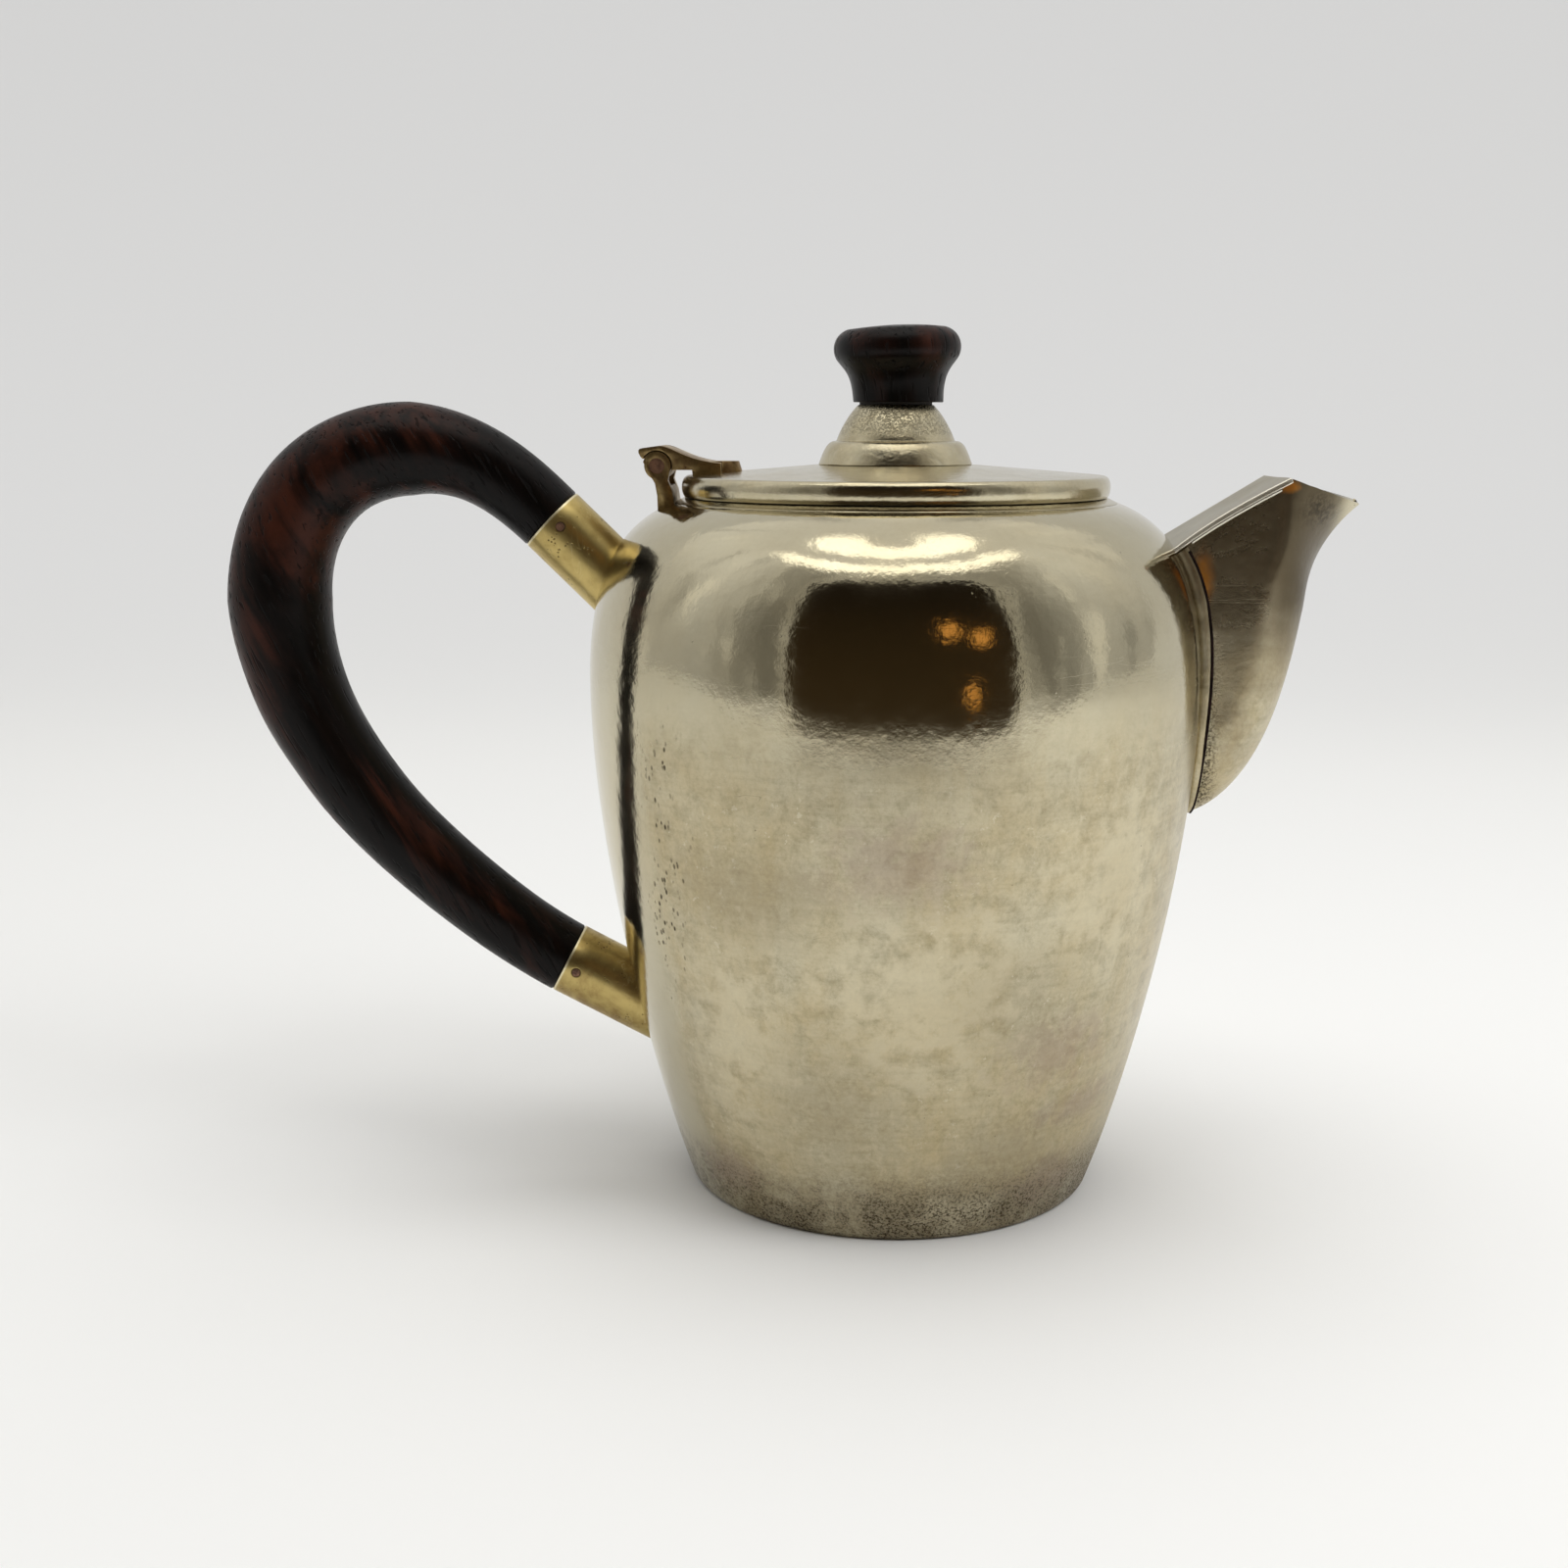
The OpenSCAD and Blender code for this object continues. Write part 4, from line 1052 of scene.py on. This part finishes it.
# %% [markdown]
# The roof is a separate flat plate laid on the spout's two sides and soldered. It is a
# grid too, so that its back edge can follow the round body and its near edge can bow.
# %% Roof plate
roof_n = 24
only(None)
bpy.ops.mesh.primitive_grid_add(x_subdivisions=roof_n, y_subdivisions=roof_n, size=MM)
roof = named("spout_roof")
for row in range(roof_n + 1):
    for column in range(roof_n + 1):
        y = mix(-half_roof, half_roof, column / roof_n)
        back = halved(lambda x: math.hypot(x, y) < body_r(roof_at(x)) - bedded, neck_r, roof_x, 30)
        x = mix(back, roof_x, row / roof_n)
        roof.data.vertices[row * (roof_n + 1) + column].co = Vector((x, y, roof_at(x))) * MM
tidy(roof)
if roof.data.polygons[0].normal.z < 0:
    roof.data.flip_normals()
thickened(roof, roof_t)
bow(roof)
tidy(roof)
rounded(roof, 0.2, angle=50)
finish_piece(roof, "pot", "nickel_silver", roof_nickel, "spout_cover")


# %% [markdown]
# Solder has run along the joint between spout and body, and it stands a little proud. A
# round rod that is mostly sunk in the wall gives that fillet. It is thicker towards the
# top, and a thin dark rod lies along its outer edge, partly dirt and partly painted shade in the groove.
# %% Solder beads
def bead(name, places, radii):
    """A rod of solder, whose radius wanders a little."""
    wandering = [radius * (1 + 0.05 * noise.noise(Vector(place) * 0.3)) for place, radius in zip(places, radii)]
    return swept(name, places, wandering, 4, 60)


seam_top = 110.5
sunk = 0.8
fillets, dirt_and_shade_lines = [], []
for side in (-1, 1):
    middles, edges, radii = [], [], []
    for i in range(61):
        z = mix(seam_top, root_z + 0.3, i / 60)
        low = clamped((z - root_z) / curl_h) * math.pi / 2
        radius = mix(1.0, 2.2, (z - root_z) / (seam_top - root_z))
        half_chord = 0.6 * radius
        y = half_width(z)
        x = math.sqrt(max(0, body_r(z) ** 2 - y * y))
        middles.append((x + 0.8 * half_chord, side * (y - sunk * radius * math.sin(low)),
                        z + sunk * radius * math.cos(low)))
        edges.append((x + 1.75 * half_chord, side * (y + 0.05), z))
        radii.append(radius)
    fillets.append(bead("spout_seam", middles, radii))
    # The thin dark rod in the groove: dirt, and painted shade.
    dirt_and_shade_lines.append(bead("seam_dirt_and_shade", edges, [0.26] * len(edges)))
finish_piece(joined(fillets), "pot", "nickel_silver", seam_nickel)
finish_piece(joined(dirt_and_shade_lines), "pot", "dark_steel", seam_dirt_and_shade)

roof_beads = []
for side in (-1, 1):
    distances = [mix(48.5, roof_x - 1.5, i / 30) for i in range(31)]
    line = [(x, side * (spout_w / 2 - 0.05), roof_at(x) - 1.15) for x in distances]
    roof_beads.append(bead("roof_solder", line, [0.32] * len(line)))
roof_solder = joined(roof_beads)
bow(roof_solder)
finish_piece(roof_solder, "pot", "nickel_silver", roof_nickel)

# %% [markdown]
# ## The handle
# The handle is carved from one piece of wood, thickest at its outer bend, and its two
# ends are turned down to tenons that fit the brass sockets. Its middle line is a chain of
# three cubic curves; a rod with its own radius at every point makes the body.
# %% Carve the handle
upper_turn, lower_turn = math.radians(-44.4), math.radians(-27.5)
upper_z, lower_z = 106, 30.8
upper_l, lower_l = 12.9, 14.7
upper_r, lower_r = 6.1, 6.3
socket_t = 0.9
tenon_l = 8
handle_top_r, handle_back_r = 7.85, 8.85


def heading(turn):
    return Vector((math.cos(turn), math.sin(turn)))


def rim_at(z, length, turn):
    """The middle of a socket's rim: back along its bore from where it meets the body."""
    return Vector((-body_r(z), z)) - length * heading(turn)


upper_rim = rim_at(upper_z, upper_l, upper_turn)
lower_rim = rim_at(lower_z, lower_l, lower_turn)
handle_x = belly_r + 54
top_x = -(belly_r + 30.2)
loop_z = body_h + 8.9
back_z = loop_z - 25.7
handle_curves = [
    [upper_rim, upper_rim - 12.5 * heading(upper_turn), (top_x + 7.9, loop_z), (top_x, loop_z)],
    [(top_x, loop_z), (top_x - 15, loop_z), (-handle_x, back_z + 13.7), (-handle_x, back_z)],
    [(-handle_x, back_z), (-handle_x, back_z - 33.6), lower_rim - 8 * heading(lower_turn), lower_rim]]
wood_radii = [lambda t: mix(upper_r, handle_top_r, t ** 1.5), lambda t: mix(handle_top_r, handle_back_r, t),
              lambda t: mix(handle_back_r, lower_r, 1 - (1 - t) ** 2)]


def tenon(rim, turn, radius):
    """The shoulder's small chamfer, then the tenon that goes into the socket."""
    way = heading(turn)
    inner_r = radius - socket_t - 0.05
    return [(rim - 0.35 * way, radius), (rim - 0.02 * way, radius - 0.3), (rim, inner_r),
            (rim + tenon_l * way, inner_r)]


stations = [(on_curve(curve, i / 48), radius_at(i / 48)) for curve, radius_at in zip(handle_curves, wood_radii)
            for i in range(1, 49)]
stations = [*reversed(tenon(upper_rim, upper_turn, upper_r)), *stations[:-1], *tenon(lower_rim, lower_turn, lower_r)]
carved = swept("carved_handle", [(middle.x, 0, middle.y) for middle, _ in stations],
               [radius for _, radius in stations], 14, 40, twist="MINIMUM")
hand_made(carved, 0.12, 13)
finish_piece(carved, "pot", "dark_wood", handle_wood, "handle")


# %% [markdown]
# Each socket is a short brass tube, cut at a slant and scribed so that it lies on the
# round body. The tube starts as an open cylinder along its bore; the far ring of points
# is slid along the bore until each point reaches the body, as a saw cut would follow it.
# %% Brass sockets
def level_way(way):
    """A way in distance and height, as a vector in space."""
    return Vector((way.x, 0, way.y))


def to_body(point, way):
    """How far along a way a point in millimetres meets the body, a little below its skin."""
    def outside(distance):
        there = point + distance * way
        return math.hypot(there.x, there.y) >= body_r(max(1, min(there.z, body_h - 0.1))) - bedded
    return halved(outside, 0.0, 40.0, 40)


def socket_tube(name, rim, turn, radius):
    way = level_way(heading(turn))
    rim = level_way(rim)
    length = 20
    only(None)
    bpy.ops.mesh.primitive_cylinder_add(vertices=128, radius=radius * MM, depth=length * MM, end_fill_type="NOTHING")
    tube = named(name)
    lay = Vector((0, 0, 1)).rotation_difference(way).to_matrix().to_4x4()
    tube.data.transform(Matrix.Translation(rim * MM) @ lay @ Matrix.Translation((0, 0, length / 2 * MM)))
    for vertex in tube.data.vertices:
        place = vertex.co / MM
        if (place - rim).dot(way) > length / 2:
            begin = place - length * way
            vertex.co = (begin + to_body(begin, way) * way) * MM
    with editing(tube):
        bpy.ops.mesh.subdivide(number_cuts=3)
    tidy(tube)
    face = tube.data.polygons[0]
    middle = face.center / MM - rim
    if face.normal.dot(middle - middle.dot(way) * way) < 0:
        tube.data.flip_normals()
    thickened(tube, socket_t)
    rounded(tube, 0.12, angle=45)
    return hand_made(tube, 0.035, 6)


pin_in = 2.3
pin_up = 0.9
pin_r = 0.7
upper_pin = upper_rim + pin_in * heading(upper_turn) + pin_up * heading(upper_turn + math.pi / 2)
lower_pin = lower_rim + pin_in * heading(lower_turn)
upper_brass = brass("upper socket brass", (0.57, 0.44, 0.17), (0.4, 0.29, 0.1), 0.33, 0.35,
                    rim=(level_way(upper_rim), level_way(heading(upper_turn)), 0.5), ring=(level_way(upper_pin), pin_r))
lower_brass = brass("lower socket brass", (0.57, 0.44, 0.17), (0.33, 0.22, 0.08), 0.3, 0.45,
                    rim=(level_way(lower_rim), level_way(heading(lower_turn)), 0.5), ring=(level_way(lower_pin), pin_r))
upper_tube = socket_tube("upper_brass_socket", upper_rim, upper_turn, upper_r)
lower_tube = socket_tube("lower_brass_socket", lower_rim, lower_turn, lower_r)
finish_piece(upper_tube, "pot", "socket_brass", upper_brass, "upper_socket")
finish_piece(lower_tube, "pot", "socket_brass", lower_brass, "lower_socket")


# %% [markdown]
# A pin goes right through each socket and its tenon. Its ends are filed nearly flush and
# slightly domed, so each end face is inset and its middle is pushed out by a hair.
# %% Socket pins
def cross_pin(name, middle, half_length):
    only(None)
    bpy.ops.mesh.primitive_cylinder_add(vertices=32, radius=pin_r * MM, depth=2 * half_length * MM,
                                        location=(middle.x * MM, 0, middle.y * MM), rotation=(math.pi / 2, 0, 0))
    pin = named(name)
    bpy.ops.object.transform_apply(location=True, rotation=True, scale=True)
    for side in (-1, 1):
        for polygon in pin.data.polygons:
            polygon.select = polygon.normal.y * side > 0.9
        with editing(pin, None):
            bpy.ops.mesh.select_mode(type="FACE")
            bpy.ops.mesh.inset(thickness=0.22 * MM)
            bpy.ops.transform.translate(value=(0, side * 0.06 * MM, 0))
            bpy.ops.mesh.select_all(action="DESELECT")
    return tidy(pin, 40)


finish_piece(cross_pin("upper_rivet", upper_pin, upper_r + 0.02), "pot", "dark_steel", pin_steel, "upper_socket_pin")
finish_piece(cross_pin("lower_rivet", lower_pin, lower_r + 0.02), "pot", "dark_steel", pin_steel, "lower_socket_pin")

# %% [markdown]
# ## The hinge
# The bracket and the leaf are sawn and filed from thick brass, so their shapes are exact
# and their edges are soft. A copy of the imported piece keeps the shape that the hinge
# needs to turn; its loose triangles are merged, flat faces are made whole, and every
# sharp edge is broken with a small bevel.
# %% Bracket, leaf and pin
hinge_brass = brass("hinge brass", (0.56, 0.42, 0.19), (0.22, 0.135, 0.06), 0.3, 0.55, cloud_mm=4)


def softened(node, name, width):
    piece = bpy.data.objects.new(name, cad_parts[node].data.copy())
    bpy.context.scene.collection.objects.link(piece)
    with editing(piece):
        bpy.ops.mesh.remove_doubles(threshold=0.004 * MM)
        bpy.ops.mesh.dissolve_limited(angle_limit=math.radians(2))
        bpy.ops.mesh.normals_make_consistent(inside=False)
    return rounded(piece, width, angle=32)


finish_piece(softened("hinge_bracket", "hinge_ears", 0.2), "pot", "hinge_bronze", hinge_brass, "hinge_bracket")
finish_piece(softened("hinge_leaf", "lid_leaf", 0.22), "lid", "hinge_bronze", hinge_brass, "hinge_leaf")

# %% [markdown]
# The pieces that were right as packed keep their shape and only get their finish: the
# hinge pin, the stud with its nut and washer under the lid, and the fibre washer.
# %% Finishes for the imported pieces
for name, material in (("hinge_pin", pin_steel), ("knob_stud", nut_steel), ("nut_washer", nut_steel),
                       ("knob_nut", nut_steel), ("knob_washer", washer_fibre)):
    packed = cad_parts[name]
    packed.data.materials.clear()
    packed.data.materials.append(material)
    print(name, "keeps its shape and takes", material.name)

# %% [markdown]
# ## The studio
# A polished pot shows its surroundings more than itself. It stands on a pale paper sweep
# that is flat under the pot and curves up behind it. The far part of the paper is painted
# darker and glows evenly, so the backdrop stays an even grey.
# %% Floor sweep
only(None)
bpy.ops.mesh.primitive_grid_add(x_subdivisions=8, y_subdivisions=60, size=1)
floor = named("sweep")
front_y, flat_to, sweep_r, sweep_w, sweep_l = -0.42, 0.55, 0.6, 6, 2.9
flat = flat_to - front_y
bend = sweep_r * math.pi / 2
for vertex in floor.data.vertices:
    travel = (vertex.co.y + 0.5) * sweep_l
    if travel < flat:
        y, z = front_y + travel, 0
    elif travel < flat + bend:
        turn = (travel - flat) / sweep_r
        y, z = flat_to + sweep_r * math.sin(turn), sweep_r * (1 - math.cos(turn))
    else:
        y, z = flat_to + sweep_r, sweep_r + travel - flat - bend
    vertex.co = Vector((vertex.co.x * sweep_w, y, z))
only(floor)
bpy.ops.object.shade_smooth()
paper, shader, place = new_material("pale paper")
far_share = remap(separate(place)[1], 0.36, 0.86)
feed(shader.inputs["Base Color"], blend_colour(far_share, (0.86, 0.865, 0.865), (0.15, 0.15, 0.15)))
feed(shader.inputs["Emission Color"], blend_colour(far_share, (0, 0, 0), (0.565, 0.565, 0.562)))
shader.inputs["Emission Strength"].default_value = 1.0
shader.inputs["Roughness"].default_value = 0.75
floor.data.materials.append(paper)

# %% [markdown]
# Round it stands a pale light tent: grey-white walls, darker on the camera's side, with
# folds in the cloth, two strips of light overhead, and in front the dark opening of the
# tent, whose reflection is the dark window on the shoulder. The tent is painted into the
# world by direction, and seen directly it is only a plain backdrop. Directions are given
# in degrees: side is measured from the camera's side of the pot, and up from level.
# %% Light tent
world = bpy.data.worlds.new("light tent")
bpy.context.scene.world = world
world.use_nodes = True
tree = world.node_tree
tree.nodes.clear()
x, y, z = separate(tree.nodes.new("ShaderNodeTexCoord").outputs["Generated"])
side = times(calc("ARCTAN2", x, times(y, -1.0)), 180 / math.pi)
up = times(calc("ARCSINE", z), 180 / math.pi)
FACING = 2.0


def oval(side_middle, side_half, up_middle, up_half, power=5.0):
    """Under 1 inside a rounded rectangle of directions, in degrees."""
    return plus(*(calc("POWER", calc("ABSOLUTE", calc("DIVIDE", minus(way, middle), half)), power)
                  for way, middle, half in ((side, side_middle, side_half), (up, up_middle, up_half))))


def inside(shape, edge=0.15):
    return inverse(remap(shape, 1 - edge, 1 + edge))


turned_away = calc("ABSOLUTE", minus(side, FACING))
near_wall = blend_colour(remap(up, 15.0, 55.0), (0.2, 0.19, 0.17), (0.34, 0.33, 0.31))
far_wall = blend_colour(remap(up, 0.0, 50.0), (0.5, 0.495, 0.48), (0.85, 0.845, 0.83))
tent = blend_colour(remap(turned_away, 48.0, 88.0), near_wall, far_wall)
folds = clouds(combine(times(side, 0.07), times(up, 0.02), 0.0), 1.0, 4, 0.6, 0.5)
tent = blend_colour(times(remap(folds, 0.52, 0.68), 0.55), tent, (1.1, 1.08, 1.02))
tent = blend_colour(times(remap(folds, 0.48, 0.3), 0.6), tent, (0.16, 0.155, 0.14))
tent = blend_colour(remap(up, 52.0, 62.0), tent, (0.8, 0.79, 0.77))
tent = blend_colour(remap(up, -1.0, -10.0), tent, (0.8, 0.795, 0.78))
opening = oval(FACING, 43.0, 17.0, 33.0)
room = blend_colour(remap(up, -10.0, 45.0), (0.04, 0.026, 0.012), (0.014, 0.01, 0.006))
for glow_side, glow_up, glow_size in ((20.0, 20.0, 4.5), (31.0, 16.0, 3.5), (27.0, -2.0, 3.0)):
    glow = inverse(remap(oval(glow_side, glow_size, glow_up, glow_size, 2.0), 0.1, 1.3))
    room = blend_colour(glow, room, (0.9, 0.42, 0.1))
tent = blend_colour(inside(opening), tent, room)
hem = times(inside(times(opening, 0.8), 0.2), inverse(inside(opening, 0.2)))
tent = blend_colour(hem, tent, (0.6, 0.58, 0.53))
for strip_up, strip_half, strip_side, strip_power in ((60.5, 3.8, 84.0, 2.2), (77.5, 6.5, 140.0, 2.2)):
    strip = inside(oval(FACING, strip_side, strip_up, strip_half, 4.0), 0.6)
    tent = blend_colour(strip, tent, (strip_power, 0.98 * strip_power, 0.93 * strip_power))
seen = blend_colour(remap(up, -5.0, 30.0), (0.85, 0.86, 0.855), (0.68, 0.68, 0.675))
direct = tree.nodes.new("ShaderNodeLightPath").outputs["Is Camera Ray"]
background = tree.nodes.new("ShaderNodeBackground")
feed(background.inputs["Color"], blend_colour(direct, tent, seen))
feed(tree.nodes.new("ShaderNodeOutputWorld").inputs[0], background.outputs[0])


def soft_light(name, place, aim, size, power):
    light = bpy.data.objects.new(name, bpy.data.lights.new(name, "AREA"))
    bpy.context.scene.collection.objects.link(light)
    light.data.size = size
    light.data.energy = power
    light.location = place
    light.rotation_euler = (Vector(aim) - Vector(place)).to_track_quat("-Z", "Y").to_euler()
    light.visible_glossy = False


soft_light("right panel", (0.55, -0.3, 0.6), (0, 0, 0.06), 0.4, 2.0)
soft_light("top panel", (-0.1, 0.1, 0.9), (0, 0, 0.05), 0.7, 1.7)
print("studio ready; pieces:", len(finished))
